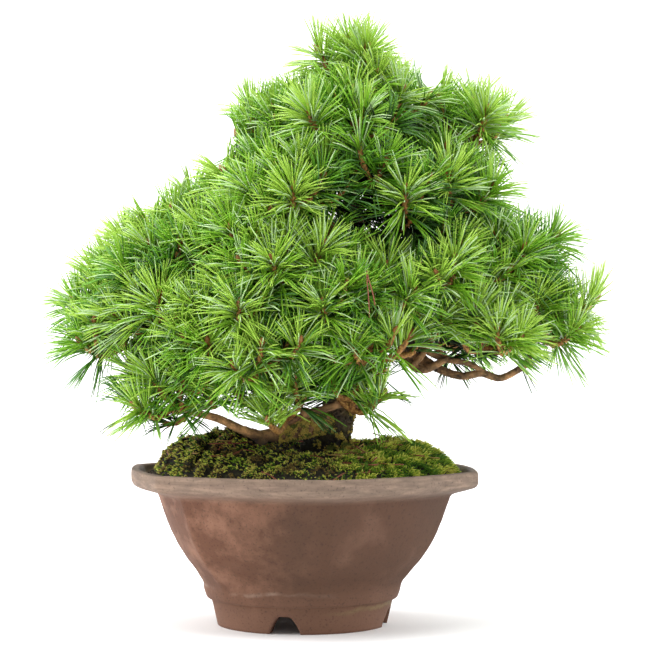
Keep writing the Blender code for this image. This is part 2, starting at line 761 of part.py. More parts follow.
                    self.grown.append((middle, tip, BUNDLE_RADIUS, number))
                    break
        self.add_part(mesh, f"shoot_{number}", shoots)

    def has_room(self, start, tip, number):
        """True where a bundle from start to tip touches nothing but its own shoot."""
        if not self.inside(tip, CLEAR) or not self.free(start, tip, NEEDLE_MARGIN):
            return False
        return all(
            nearest(start, tip, a, b) > BUNDLE_RADIUS + thick
            for a, b, thick, owner in self.grown
            if owner != number
        )


def main():
    for obj in list(bpy.data.objects):
        bpy.data.objects.remove(obj)
    clay = material("unglazed brown clay", (0.245, 0.128, 0.096), 0.85)
    earth = material("dark gritty soil", (0.030, 0.020, 0.014), 0.95)
    cushion = material("moss", (0.145, 0.190, 0.020), 0.95)
    bark = material("grey brown bark", (0.075, 0.052, 0.040), 0.9)
    needles = material("green needles", (0.180, 0.420, 0.070), 0.5)
    make_pot(clay)
    make_soil(earth)
    make_moss(cushion)
    make_trunk(bark)
    pieces = limb_pieces(*trunk_line())
    for name in BOUGHS:
        make_bough(name, bark)
        pieces += limb_pieces(*bough_line(BOUGHS[name]))
    masses = [Mass(name) for name in MASSES]
    for mass in masses:
        mass.find_borders(masses)
        mass.find_obstacles(pieces, masses)
    for mass in masses:
        mass.build(needles)
    for obj in bpy.context.scene.objects:
        obj.data.shade_smooth()
        obj.data.set_sharp_from_angle(angle=math.radians(35))


main()
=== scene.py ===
"""Japanese white pine bonsai in a six-sided clay pot: the finish of every surface.

The tree is grown again here by the same rule as the solids it stands for. A mass leaves its limb by a stem,
forks, and carries a leading shoot with side shoots leaning round it. Each of those forks once more into
finer twigs, and every shoot is clothed in bundles of five needles. The part is in metres, +Z up and -Y the
front, and the tables are in millimetres from the pot's axis.
"""

import math
import random

import bmesh
import bpy
import numpy as np
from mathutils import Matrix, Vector


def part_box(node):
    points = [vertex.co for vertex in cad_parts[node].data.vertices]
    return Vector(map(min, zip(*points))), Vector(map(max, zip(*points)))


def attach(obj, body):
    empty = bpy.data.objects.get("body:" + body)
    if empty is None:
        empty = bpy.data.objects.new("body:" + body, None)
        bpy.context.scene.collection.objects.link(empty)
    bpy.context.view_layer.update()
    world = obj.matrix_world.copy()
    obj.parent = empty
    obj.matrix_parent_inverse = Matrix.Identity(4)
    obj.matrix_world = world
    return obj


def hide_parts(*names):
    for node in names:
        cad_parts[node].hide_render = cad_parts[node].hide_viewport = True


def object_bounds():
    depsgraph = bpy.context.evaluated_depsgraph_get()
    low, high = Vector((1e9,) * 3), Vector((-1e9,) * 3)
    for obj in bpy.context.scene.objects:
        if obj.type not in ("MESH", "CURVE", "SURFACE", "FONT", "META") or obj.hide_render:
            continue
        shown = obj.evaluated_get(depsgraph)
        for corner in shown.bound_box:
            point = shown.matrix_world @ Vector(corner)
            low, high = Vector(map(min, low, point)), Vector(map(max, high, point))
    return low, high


bl_info = {
    "name": "White Pine Bonsai",
    "version": (1, 0, 0),
    "blender": (4, 5, 0),
    "location": "View3D > Sidebar > Bonsai",
    "description": "Clothes the packed solids of a potted white pine with clay, moss, bark and needles",
    "category": "Add Mesh",
}

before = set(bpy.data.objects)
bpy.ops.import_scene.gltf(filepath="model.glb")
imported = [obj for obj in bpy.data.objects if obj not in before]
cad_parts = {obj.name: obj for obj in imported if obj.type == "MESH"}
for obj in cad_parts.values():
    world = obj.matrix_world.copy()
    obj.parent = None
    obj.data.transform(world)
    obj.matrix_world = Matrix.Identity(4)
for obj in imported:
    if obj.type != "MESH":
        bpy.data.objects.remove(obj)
CAD_BOX = [list(corner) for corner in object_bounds()]

MM = 0.001
PER_MM = 1 / MM  # a noise of this scale has features about 1 mm across
POT_LOW, POT_HIGH = (np.array(corner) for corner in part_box("pot"))
AXIS = (POT_LOW + POT_HIGH) / 2 * np.array((1, 1, 0))  # where the pot's axis meets the floor
UP = np.array((0.0, 0.0, 1.0))
EYE = np.array((13.0, -1220.0, 170.5))  # the camera's place from the pot's axis, in millimetres

# Pot, as in the solids: corner radius, height, and how six-sided it is there, with the fillet of each corner
POT_SIDES = 6
POT_TURN = math.radians(-78.5)
POT_FLATNESS = 0.5
FOOT_INSIDE = 39.8
FOOT_NOTCHES = 4
NOTCH_TURN = math.radians(-101)
NOTCH_HALF = 8.5
NOTCH_TOP_HALF = 3.5
NOTCH_HEIGHT = 10.0
POT_OUTSIDE = (
    (48.4, 0.0, 0.0, 1.4),
    (52.0, 15.3, 0.0, 0.7),
    (55.2, 15.6, 0.2, 1.6),
    (57.6, 20.6, 0.4, 2.4),
    (58.2, 24.4, 0.5, 3.0),
    (65.2, 32.5, 0.8, 6.0),
    (72.6, 41.0, 0.9, 9.0),
    (80.6, 54.5, 1.0, 9.0),
    (88.2, 75.6, 1.0, 2.2),
    (102.8, 79.6, 1.0, 2.2),
    (104.4, 82.5, 1.0, 1.4),
    (103.9, 88.9, 1.0, 1.3),
    (98.7, 88.8, 1.0, 1.6),
    (96.2, 84.0, 1.0, 2.0),
    (82.8, 76.9, 1.0, 2.0),
    (76.0, 58.0, 1.0, 3.0),
    (49.0, 20.0, 0.5, 3.0),
    (0.0, 20.0, 0.0, 0.0),
)
POT_UNDER = (
    (0.0, 12.0, 0.0, 0.0),
    (FOOT_INSIDE, 12.0, 0.0, 1.5),
    (FOOT_INSIDE, 0.0, 0.0, 0.8),
    (48.4, 0.0, 0.0, 1.0),
)

# Broken lines on the foot, a lime one on the right and a pale one on the left: height, the places right of the
# axis where each starts and is whole, all in metres, and colour
FOOT_LINES = ((0.0130, -0.005, 0.025, "#85764e"), (0.0225, 0.010, -0.030, "#a08c7c"))

# Ground, as in the solids
SOIL_EDGE = 83.8
SOIL_CROWN = 97.5
COLLAR = 21.0
SOIL_REACH = 94.6
MOSS_THIN = 1.8
MOSS_START = 0.06
MOSS_END = 0.94
MOSS_SHOULDER = 0.15
MOSS_CLUMP = 1.7
SPRIG_ROOM = 2.4  # how far the mat lies below the solid's top, so that sprigs fit under it
MOSS_TINTS = (
    ("olive", "#beb652"),
    ("green", "#4a7410"),
    ("brown", "#6e5a26"),
    ("lime", "#d6da5a"),
    ("bright", "#7c9c20"),
)
SPRIGS_A_PIECE = 14000
SOIL_GRID = (60, 180)  # rings from the pot to the trunk, and points round each
MOSS_GRID = (70, 220)
# The soil's underside from its middle up the pot's wall: corner radius, height and how six-sided it is
SOIL_WALL = ((0, 20.3, 0), (48, 20.3, 0.5), (63.1, 36.4, 0.9), (75.4, 58.2, 1), (81.4, 76.7, 1))
# A dry pair of needles caught in the crown, as points along each
CAUGHT_PAIR = (
    ((35, -92, 199), (35.2, -93, 193), (35.8, -93.5, 187), (36.2, -93, 180.5), (36.5, -92, 174.5)),
    ((35, -92, 199), (36, -92.5, 194.5), (37.4, -93, 190), (38.6, -92.5, 185.5), (39.4, -91.5, 181)),
)
YOUNG_MOSS_FROM = 22.0  # right of the axis
# Cushions: compass angle and share of the way out, height, and spread by share and by angle
CUSHIONS = (
    (math.radians(176), 0.58, 13.5, 0.40, math.radians(50)),
    (math.radians(3), 0.52, 9.0, 0.42, math.radians(44)),
    (math.radians(92), 0.45, 6.0, 0.36, math.radians(55)),
    (math.radians(-70), 0.60, 2.5, 0.30, math.radians(40)),
)

# Trunk and boughs, as in the solids: right of the pot's axis, behind it, height, and the trunk's radius
TRUNK_ROUTE = (
    (14, 0, 97.8, 15.5),
    (15, 0, 101, 12.5),
    (17, 0, 108, 10.4),
    (21, 1, 122, 9.4),
    (26, 3, 142, 9.0),
    (30, 6, 166, 8.4),
    (33, 6, 190, 7.0),
    (32, 3, 214, 5.8),
    (28, 0, 240, 4.7),
    (26, -3, 266, 3.6),
    (28, -4, 286, 2.7),
    (26, -4, 305, 2.0),
)
ROOT_LOBES = 5
ROOT_SPREAD = 0.13
ROOT_FADE = 7.0
ROOT_PHASE = 0.7
TRUNK_STEPS = 34  # rings between two points of the trunk's route, and of a limb's
LIMB_STEPS = 26
BOUGH_TAPER = 0.9  # power by which a bough thins along its way
# Each bough's height on the trunk, way points, tip, and radii where it leaves the trunk and at its tip
BOUGHS = {
    "bough_left_low": (
        116, ((2, -13, 113), (-20, -27, 108.5), (-33, -31, 112), (-48, -36, 119)), (-70, -40, 124), 6.6, 1.8
    ),
    "bough_left_far": (150, ((4, 10, 156), (-34, 10, 164)), (-84, 2, 172), 5.2, 2.0),
    "bough_left": (178, ((8, 10, 188), (-24, 12, 198)), (-62, 4, 210), 4.6, 1.9),
    "bough_left_up": (232, ((14, 0, 243),), (-12, -6, 257), 3.2, 1.7),
    "bough_front_left": (138, ((14, -18, 146), (-4, -36, 154)), (-20, -46, 162), 4.6, 1.9),
    "bough_front_low": (122, ((36, -20, 127), (26, -38, 128), (12, -42, 124)), (2, -44, 122), 3.0, 1.7),
    "bough_front_right": (130, ((34, -13, 138),), (40, -32, 148), 3.8, 1.8),
    "bough_front": (164, ((28, -20, 172),), (20, -40, 184), 4.4, 1.9),
    "bough_front_up": (204, ((20, -16, 211),), (2, -34, 222), 3.6, 1.8),
    "bough_right_low": (
        172,
        ((54, 2, 167), (64, 0, 154), (77, -4, 146), (90, -8, 141.5), (102, -8, 143), (114, -6, 140.5)),
        (129, -8, 149), 6.6, 1.8,
    ),
    "bough_right_inner": (180, ((56, 14, 184), (72, 10, 178)), (86, 2, 170), 4.2, 1.8),
    "bough_right": (196, ((54, 0, 206),), (84, -4, 214), 4.0, 1.9),
    "bough_right_up": (228, ((50, 0, 242),), (74, -2, 260), 3.4, 1.8),
    "bough_back": (156, ((26, 26, 164),), (16, 46, 174), 4.6, 2.0),
}

# The two low limbs, as the photo shows them: slim, the right one with a dark knot and thin strands that
# twine round it, the left one with a cut stub under its knee. Girths are places right of the axis and the
# radius at each, and strands are their points and the radii along them: the first is the knot and the last
# the stub.
LIMB_GIRTHS = {
    "bough_right_low": ((40, 60, 70, 76, 90, 118), (6.6, 5.2, 3.2, 2.5, 2.2, 2.0)),
    "bough_left_low": ((-70, -48, -33, -24, -14, 2), (1.8, 2.2, 2.5, 3.1, 4.2, 6.5)),
}
LIMB_STRANDS = (
    (((55, 2, 163), (61, 0, 161), (67, -1, 159.5), (72, -2, 157.5)), (2.0, 7.2, 7.4, 6.0, 1.5)),
    (
        ((57, -7, 158), (60, -9, 150.5), (65, -11, 146), (71, -11, 145.5), (78, -9, 149), (84, -6, 152)),
        (1.5, 2.4, 2.3, 2.2, 1.6),
    ),
    (
        ((62, -12, 147), (67, -13, 152), (72, -12, 160), (75.5, -12, 168), (77, -14, 178)),
        (1.9, 1.7, 1.6, 1.5),
    ),
    (
        ((67, -5, 158), (75, -6, 153.5), (83, -7, 150.5), (91, -9, 149.5), (98, -9, 147), (104, -8, 143)),
        (2.0, 1.7, 1.6, 1.5),
    ),
    (((-29, -28.5, 111), (-24, -28.5, 107.5), (-21, -29, 103.5)), (2.4, 3.2, 3.4, 2.9)),
)

# Masses, as in the solids: limb, middle of the leading shoot, shoots, and how far the side shoots stand off
MASSES = {
    "apex": (305, 27, -4, 324, 4, 11),
    "apex_right": (284, 45, -10, 299, 5, 14),
    "apex_left": (280, -4, 0, 289, 4, 13),
    "apex_front": (266, 18, -38, 285, 5, 15),
    "apex_back": (272, 30, 38, 300, 5, 17),
    "upper_left": ("bough_left_up", -18, 0, 277, 4, 13),
    "upper_left_front": ("bough_left_up", -24, -36, 254, 4, 14),
    "upper_left_back": ("bough_left_up", -8, 54, 262, 5, 17),
    "upper_right": ("bough_right_up", 98, 0, 288, 5, 15),
    "upper_right_front": ("bough_right_up", 88, -26, 249, 5, 15),
    "upper_right_back": ("bough_right_up", 70, 48, 264, 5, 17),
    "heart_right": (224, 58, -44, 243, 4, 14),
    "heart": (238, 30, -46, 259, 4, 14),
    "front_bright": ("bough_front_up", -9, -58, 244, 5, 14),
    "front_mid_left": ("bough_front_up", -37, -50, 224, 5, 14),
    "front_mid": ("bough_front_up", -8, -72, 208, 5, 14),
    "left_upper": ("bough_left", -62, 0, 235, 5, 15),
    "left_mid": ("bough_left", -100, 10, 210, 4, 14),
    "left_mid_front": ("bough_left", -83, -32, 206, 4, 14),
    "left_back": ("bough_left", -60, 52, 206, 5, 17),
    "left_far": ("bough_left_far", -117, 8, 190, 4, 13),
    "left_far_low": ("bough_left_far", -113, -14, 168, 4, 13),
    "left_front": ("bough_left_far", -88, -44, 181, 4, 14),
    "left_low_back": ("bough_left_far", -64, 50, 162, 5, 17),
    "left_low": ("bough_left_low", -80, -52, 135, 4, 13),
    "left_low_inner": ("bough_left_low", -52, -64, 165, 4, 14),
    "front_left": ("bough_front_left", -38, -72, 184, 5, 15),
    "front_low_left": ("bough_front_left", -26, -78, 156, 4, 14),
    "front_low": ("bough_front_low", -14, -62, 127, 4, 12),
    "front_low_right": ("bough_front_right", 30, -54, 134, 3, 9),
    "front_right_inner": ("bough_front_right", 40, -66, 163, 4, 13),
    "front_middle": ("bough_front", 14, -72, 186, 5, 14),
    "front_right": ("bough_front", 46, -64, 192, 5, 14),
    "right_low_inner": ("bough_right_inner", 74, -36, 178, 4, 14),
    "right_low": ("bough_right_inner", 111, -38, 170, 5, 14),
    "right_low_back": ("bough_right_inner", 90, 48, 171, 5, 17),
    "right_far": ("bough_right_low", 144, -12, 174, 5, 14),
    "right": ("bough_right", 123, -10, 211, 5, 14),
    "right_inner": ("bough_right", 86, -44, 206, 4, 14),
    "right_back": ("bough_right", 104, 46, 218, 5, 17),
    "back_low": ("bough_back", 12, 66, 165, 5, 17),
    "back": ("bough_back", 20, 76, 206, 5, 17),
}

# The rule that the shoots follow, as in the solids, and that the finer twigs and the inner shoots follow here
CORE_LENGTH = 14.0  # of a shoot in the solids
LEADER = 8.0  # from the fork to the leading shoot's foot
SIDE_TILT = math.radians(64)  # how far side shoots lean from the leader
LIGHT_PULL = 0.30  # how much a direction is drawn upwards, towards the light
GROWTH_FOCUS = np.array((18.0, 6.0, 96.0))  # the masses grow away from here
CANDLE_PULL = 0.30  # a shoot's own end turns up by this much more
KNUCKLE = 3.2  # radius of the round end of a bough, where its masses start
FINE_TILT = math.radians(58)  # how far a finer twig leans from the shoot it leaves
FINE_REACH = 14.0  # from there to where its needles start
FINE_LENGTH = 9.0  # and on to its tip
FINE_NEEDLES = 0.88  # their needles' length, as a share of a main shoot's
FINE_TWIGS = 3
STEM_BOW = 0.35  # how far a stem bends towards its aim, as a share of its length
INNER_REACH = 6.0  # likewise for the short shoots inside the crown
INNER_LENGTH = 8.0
INNER_TILT = math.atan(2)
UPPER_TRUNK = np.arange(180, 300, 6)  # heights on the trunk that inner shoots follow
# Boughs that are bare of inner shoots, but for the end of the first
BARE_BOUGHS = ("bough_left_low", "bough_front_low", "bough_right_low")
# Stretches of limb with no needles before them: limb, from x, to x, and how far round them
BARE_STRETCHES = (
    ("bough_right_low", 56, 120, 8.0), ("bough_left_low", -52, 4, 6.0), ("bough_front_low", 4, 30, 4.0),
)
SHOOT_SPACING = 14.0  # shoots closer than this crowd each other out
NEEDLE_AHEAD = 16.0  # how far needles stand past a finer twig's tip
MASS_REACH = 29.0  # how far from the nearest main shoot they may end
LOWEST_NEEDLE = 105.0
# Where the crown is painted deeper green than its openness makes it, as painted shade in its recesses, and
# where it is painted lighter, as painted light on its brightest tufts: middle, radius and by how many tints.
# The deeper ones hold no finer twigs.
HOLLOWS = np.array((
    (13, -42, 226, 16, 2.0),
    (45, -40, 243, 20, 2.6),
    (47, -30, 277, 19, 2.4),
    (-67, -32, 191, 14, 1.8),
    (-24, -36, 240, 11, 1.6),
    (70, -36, 226, 13, 2.2),
    (-80, -20, 178, 12, 1.8),
    (-42, -50, 200, 11, 1.5),
    (60, -26, 190, 13, 1.8),
    (-14, -62, 127, 16, -2.6),
    (30, -54, 134, 14, -2.2),
    (111, -38, 170, 22, -1.2),
    (20, -72, 170, 26, -0.8),
))
# Notches in the crown's outline, where the sky shows from the front: right of the axis, height and radius
NOTCHES = (
    (-3, 337, 7), (-46, 284, 7), (-50, 271, 7), (-90, 246, 7), (74, 313, 6), (127, 271, 5), (126, 256, 4),
    (-130, 147, 5), (-112, 120, 7), (57, 138, 6), (54, 122, 6), (-72, 258, 4), (158, 240, 7), (-47, 302, 5),
    (170, 146, 7),
)
# Candles that outgrow their mass: mass, foot and direction
CANDLES = (
    ("upper_left", (-20, -2, 284), (-0.7, 0, 0.4)),
    ("right", (132, -8, 213), (0.8, 0, 0.2)),
    ("right_far", (155, -12, 177), (0.9, -0.1, 0.35)),
    ("right_low", (108, -34, 158), (0.3, -0.5, 0.1)),
    ("left_low", (-48, -44, 126), (-0.2, -0.5, 0.3)),
)
SHOOT_LENGTH = 11.5  # of a main shoot as it is dressed here
GOLDEN_ANGLE = math.radians(137.508)
BUNDLE = 5  # needles that open from one sheath
ANY_TURN = 6.3  # about a whole turn, by a share of which shoots and bundles are turned
NEEDLE_LEAN = (90, 18)  # degrees between a shoot and its needles, at its foot and at its tip
SHOOT_RISE = 0.34  # how far a shoot's tip bends up towards the light, as a share of its length
TWIG_NEEDLES = 0.12  # how far back along its twig a shoot still carries old needles, as a share of the twig
NEEDLES_A_PIECE = 9900
# Ways by which light reaches a shoot
OPEN_SIDES = (
    (0, 0, 1), (0, -1, 0.2), (0, 1, 0.2), (-1, 0, 0.2), (1, 0, 0.2), (-0.7, -0.7, 0.6), (0.7, -0.7, 0.6),
)
# From the young green to the darkest inside, a scale dealt out as painted light and shade, and then the tints
# of the pale undersides, one lit and one in painted shade: colour and roughness
NEEDLE_TINTS = (
    ("young", "#a0c648", 0.42),
    ("fresh", "#7fb32c", 0.42),
    ("leaf", "#5a921c", 0.45),
    ("deep", "#3a6c10", 0.48),
    ("shade", "#1d4205", 0.55),
    ("inner", "#0c2002", 0.65),
    ("mint", "#b6d398", 0.45),
    ("glaucous", "#5e8c4c", 0.5),
)
PALE_TINTS = 2
PALE_SHARE = 0.2

# Studio lights, in metres: place, size, watts and what each points at
LIGHTS = (
    ("left softbox", (-1.75, -0.1, 1.15), 2.2, 57.0, (0, 0, 0.18)),
    ("right softbox", (1.8, 0.1, 1.05), 2.2, 42.0, (0, 0, 0.18)),
    ("top softbox", (-0.2, -0.4, 2.0), 1.2, 35.0, (0, 0, 0.18)),
    ("low fill", (0.2, -2.0, 0.35), 1.4, 5.0, (0, 0, 0.15)),
    ("backdrop light", (0.0, 1.2, 2.8), 2.0, 90.0, (0, 3.0, 0.9)),
)
ROOM_LIGHT = 0.31


def place(points):
    """Points in millimetres from the pot's axis, as metres in the part's frame."""
    return np.asarray(points, float) * MM + AXIS


def unit(vectors):
    """Each vector divided by its length."""
    vectors = np.asarray(vectors, float)
    return vectors / np.maximum(np.linalg.norm(vectors, axis=-1, keepdims=True), 1e-12)


def linear(colour):
    """An sRGB hex colour as linear red, green, blue and alpha."""
    channels = [int(colour[i : i + 2], 16) / 255 for i in (1, 3, 5)]
    return (*((c / 12.92 if c <= 0.04045 else ((c + 0.055) / 1.055) ** 2.4) for c in channels), 1.0)


def waves(points, size, seed, count=28):
    """A smooth irregular field of about unit height: a sum of cosine waves of random direction and phase,
    with wavelengths from 0.6 to 1.6 times size."""
    rng = np.random.default_rng(seed)
    ways = unit(rng.normal(size=(count, 3)))
    lengths = size * rng.uniform(0.6, 1.6, count)
    phases = rng.uniform(0, 2 * math.pi, count)
    flat = np.asarray(points, float).reshape(-1, 3)
    field = np.cos(flat @ (ways / lengths[:, None]).T * 2 * math.pi + phases).sum(1) * math.sqrt(2 / count)
    return field.reshape(np.asarray(points).shape[:-1])


def make_mesh(name, points, faces):
    """A mesh object from an array of points and an array of triangles or quads."""
    points, faces = np.asarray(points, float).reshape(-1, 3), np.asarray(faces, np.int32)
    mesh = bpy.data.meshes.new(name)
    corners = faces.shape[1]
    mesh.vertices.add(len(points))
    mesh.vertices.foreach_set("co", points.astype(np.float32).ravel())
    mesh.loops.add(faces.size)
    mesh.loops.foreach_set("vertex_index", faces.ravel())
    mesh.polygons.add(len(faces))
    mesh.polygons.foreach_set("loop_start", np.arange(0, faces.size, corners, dtype=np.int32))
    mesh.update(calc_edges=True)
    mesh.validate()
    mesh.shade_smooth()
    piece = bpy.data.objects.new(name, mesh)
    bpy.context.scene.collection.objects.link(piece)
    return piece


def tidy_mesh(piece, merge=0.01 * MM):
    """Merges the points that fall together, and turns the faces out."""
    mesh = bmesh.new()
    mesh.from_mesh(piece.data)
    bmesh.ops.remove_doubles(mesh, verts=mesh.verts, dist=merge)
    bmesh.ops.dissolve_degenerate(mesh, edges=mesh.edges, dist=merge)
    bmesh.ops.recalc_face_normals(mesh, faces=mesh.faces)
    mesh.to_mesh(piece.data)
    mesh.free()
    piece.data.shade_smooth()


def dress(piece, finish, slot, *nodes):
    """Gives a piece its material and its body, and hides the nodes that it stands for. The slot is not used.
    """
    piece.data.materials.append(finish)
    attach(piece, "root")
    if nodes:
        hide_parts(*nodes)


def grid_faces(rows, columns, closed=False):
    """Quads of a grid whose columns join up into rings, faces to the left of its rows. In a closed grid the
    last row joins the first."""
    r, c = np.meshgrid(np.arange(rows - 1 + closed), np.arange(columns), indexing="ij")
    n, after = (c + 1) % columns, (r + 1) % rows
    quads = np.stack([r * columns + c, r * columns + n, after * columns + n, after * columns + c], -1)
    return quads.reshape(-1, 4)


def ring_points(reach, angle, height):
    """Points at a reach from the axis, a compass angle and a height."""
    return np.stack(np.broadcast_arrays(reach * np.cos(angle), reach * np.sin(angle), height), -1)


def bent(start, control, end, t):
    """A quadratic curve from start to end, pulled towards a control point."""
    return start * (1 - t) ** 2 + 2 * control * t * (1 - t) + end * t**2


def smooth_route(points, steps):
    """A Catmull-Rom curve through the points, with steps spans between each two."""
    points = np.asarray(points, float)
    ends = np.vstack([points[:1], points, points[-1:]])
    t = (np.arange(steps) / steps)[None, :, None]
    a, b, c, d = (ends[i : len(points) - 1 + i, None, :] for i in range(4))
    curve = 0.5 * (2 * b + (c - a) * t + (2 * a - 5 * b + 4 * c - d) * t**2 + (3 * b - a - 3 * c + d) * t**3)
    return np.vstack([curve.reshape(-1, points.shape[1]), points[-1:]])


def sweep(centres, radii, sides):
    """Many round tubes at once, each pointed at both ends: rings of the given radii are laid round every
    centre, square to the path, and a pole closes each end. centres is (tubes, stations, 3) and radii (tubes,
    stations). Returns the ring points (tubes, stations, sides, 3), the poles (tubes, 2, 3) and the
    directions out."""
    centres, radii = np.asarray(centres, float), np.asarray(radii, float)
    axes = unit(np.gradient(centres, axis=1))
    chord = unit(centres[:, -1] - centres[:, 0])
    spare = np.where(np.abs(chord[:, 2:]) < 0.8, UP, np.array((1.0, 0.0, 0.0)))
    across = unit(spare[:, None, :] - axes * (axes * spare[:, None, :]).sum(-1, keepdims=True))
    other = np.cross(axes, across)
    turn = 2 * math.pi * np.arange(sides) / sides
    out = across[:, :, None, :] * np.cos(turn)[:, None] + other[:, :, None, :] * np.sin(turn)[:, None]
    rings = centres[:, :, None, :] + out * radii[:, :, None, None]
    return rings, centres[:, (0, -1)], out


def tube_mesh(name, rings, poles=None):
    """One mesh of many tubes, from what sweep returns: triangles between the rings and a fan to each pole.
    Tubes of three sides without poles are closed by a flat triangle at either end."""
    tubes, stations, sides, _ = rings.shape
    quads = grid_faces(stations, sides)
    last = (stations - 1) * sides
    points = rings.reshape(tubes, -1, 3)
    if poles is None:
        ends = ((0, 2, 1), (last, last + 1, last + 2))
    else:
        k = np.arange(sides)
        n = (k + 1) % sides
        low = np.full(sides, stations * sides)
        ends = np.vstack([np.stack([low, n, k], -1), np.stack([low + 1, last + k, last + n], -1)])
        points = np.concatenate([points, poles], 1)
    faces = np.vstack([quads[:, (0, 1, 2)], quads[:, (0, 2, 3)], ends])
    faces = faces[None] + (np.arange(tubes) * points.shape[1])[:, None, None]
    return make_mesh(name, points, faces.reshape(-1, 3))


def six_sided(angle):
    """Share of the corner radius that the pot has at a compass angle."""
    span = 2 * math.pi / POT_SIDES
    off = (angle - POT_TURN + span / 2) % span - span / 2
    flat = math.cos(span / 2) / np.cos(span / 2 - np.abs(off))
    return 1 - POT_FLATNESS * (1 - flat)


def filleted(corners, steps=5):
    """A profile with each corner rounded by a quadratic arc that starts its fillet's length before it."""
    corners = np.asarray(corners, float)
    rows = [corners[:1, :3]]
    t = np.linspace(0, 1, steps)[:, None]
    for before, here, after in zip(corners, corners[1:], corners[2:]):
        to_before, to_after = before[:2] - here[:2], after[:2] - here[:2]
        reach_before = min(here[3] / max(np.linalg.norm(to_before), 1e-6), 0.45)
        reach_after = min(here[3] / max(np.linalg.norm(to_after), 1e-6), 0.45)
        a = here[:3] + (before[:3] - here[:3]) * reach_before
        b = here[:3] + (after[:3] - here[:3]) * reach_after
        rows.append(bent(a, here[:3], b, t))
    rows.append(corners[-1:, :3])
    return np.vstack(rows)


def resampled(profile, spacing):
    """The same profile with points no further apart than the spacing."""
    rows = []
    for a, b in zip(profile, profile[1:]):
        count = max(int(np.linalg.norm(b[:2] - a[:2]) / spacing), 1)
        rows.append(a + (b - a) * (np.arange(count) / count)[:, None])
    rows.append(profile[-1:])
    return np.vstack(rows)


def notch_lift(angle, radius):
    """Height of the arch over a point of the foot's underside: nothing between the notches, and an arch that
    narrows upwards in each of them, from half its foot's width to half its top's."""
    span = 2 * math.pi / FOOT_NOTCHES
    off = (angle - NOTCH_TURN + span / 2) % span - span / 2
    side = np.abs(np.sin(off)) * radius
    rise = (NOTCH_HALF - side) / (NOTCH_HALF - NOTCH_TOP_HALF)
    return NOTCH_HEIGHT * np.clip(rise, 0, 1) ** 0.6


def trunk_line(steps):
    """The trunk's centres and radii in millimetres, from its route."""
    route = smooth_route(TRUNK_ROUTE, steps)
    return route[:, :3], route[:, 3]


def trunk_at(height):
    """The trunk's centre and radius at a height."""
    centres, radii = trunk_line(8)
    middle = [np.interp(height, centres[:, 2], centres[:, i]) for i in range(3)]
    return np.array(middle), float(np.interp(height, centres[:, 2], radii))


def root_flare(height, angle):
    """Share by which the trunk's foot spreads at a height and an angle: root lobes that fade upwards."""
    fade = np.exp(-(height - TRUNK_ROUTE[0][2]) / ROOT_FADE)
    return ROOT_SPREAD * fade * np.cos(ROOT_LOBES * angle + ROOT_PHASE)


def bough_line(name, steps):
    """A bough's centres and radii: from the trunk's middle by its way points to the knuckle at its tip."""
    start, way, tip, thick, thin = BOUGHS[name]
    foot, _ = trunk_at(start)
    centres = smooth_route([foot, *way, tip], steps)
    share = np.linspace(0, 1, len(centres))
    radii = thin + (thick - thin) * (1 - share) ** BOUGH_TAPER
    ahead = unit(centres[-1] - centres[-2])
    swell = np.linalg.norm(centres - centres[-1], axis=1) / KNUCKLE
    radii = np.maximum(radii, KNUCKLE * np.sqrt(np.clip(1 - swell**2, 0, 1)))
    beyond = np.array((0.45, 0.8))[:, None] * ahead * KNUCKLE
    return np.vstack([centres, centres[-1] + beyond]), np.append(radii, (KNUCKLE * 0.87, KNUCKLE * 0.5))


def limb_line(name, steps):
    """A bough's line as bough_line gives it, with the two low limbs slimmed along their way."""
    centres, radii = bough_line(name, steps)
    if name in LIMB_GIRTHS:
        tip = np.linalg.norm(centres - centres[-1], axis=1) < 2 * KNUCKLE
        radii = np.where(tip, radii, np.minimum(radii, np.interp(centres[:, 0], *LIMB_GIRTHS[name])))
    return centres, radii


def ground(share, angle):
    """A point of the soil's surface in millimetres: share 0 is the trunk's collar and 1 the edge at the pot.
    The surface drops from the collar by the power 1.7 of the share."""
    share, angle = np.broadcast_arrays(share, angle)
    way = ring_points(1, angle, 0)[..., :2]
    inner = np.array(TRUNK_ROUTE[0][:2]) + way * COLLAR
    outer = way * (SOIL_REACH * six_sided(angle))[..., None]
    flat = inner + (outer - inner) * share[..., None]
    height = SOIL_CROWN - (SOIL_CROWN - SOIL_EDGE) * np.maximum(share, 0) ** 1.7
    return np.concatenate([flat, height[..., None]], -1)


def moss_depth(share, angle):
    """Thickness of the moss: a thin mat with flat-topped cushions, rounded off at both of its edges."""
    depth = MOSS_THIN
    for compass, centre, height, width, spread in CUSHIONS:
        turn = (angle - compass + math.pi) % (2 * math.pi) - math.pi
        depth = depth + height * np.exp(-(((share - centre) / width) ** 4) - (turn / spread) ** 2)
    to_edge = np.maximum(np.minimum(MOSS_END - share, share - MOSS_START), 0) / MOSS_SHOULDER
    return depth * np.minimum(1.0, 0.15 + np.sqrt(to_edge))


def moss_top(share, angle):
    """A point of the mat's surface, lower than the solid's where sprigs stand on it: clumps 9 mm and 4 mm
    across, deep on the old moss and soft on the young."""
    point = ground(share, angle)
    depth = moss_depth(share, angle)
    depth = depth - SPRIG_ROOM * np.clip(depth / 5 - 0.5, 0, 1)
    rough = MOSS_CLUMP * (1 - 0.5 * young_moss(point))
    point[..., 2] += depth + rough * moss_clumps(point) * np.clip(depth / 7, 0.2, 1.0)
    return point


def young_moss(point):
    """1 on the fresh cushion right of the trunk, 0 on the old moss left of it, and a soft step between."""
    edge = point[..., 0] - YOUNG_MOSS_FROM + waves(point * (1, 1, 0), 14.0, 14) * 4
    return 1 / (1 + np.exp(-edge / 3.5))


def moss_clumps(point):
    """A field of lumps with hollows between them, about -2 to 2."""
    return waves(point * (1, 1, 0), 9.0, 11) + waves(point * (1, 1, 0), 4.2, 12) * 0.5


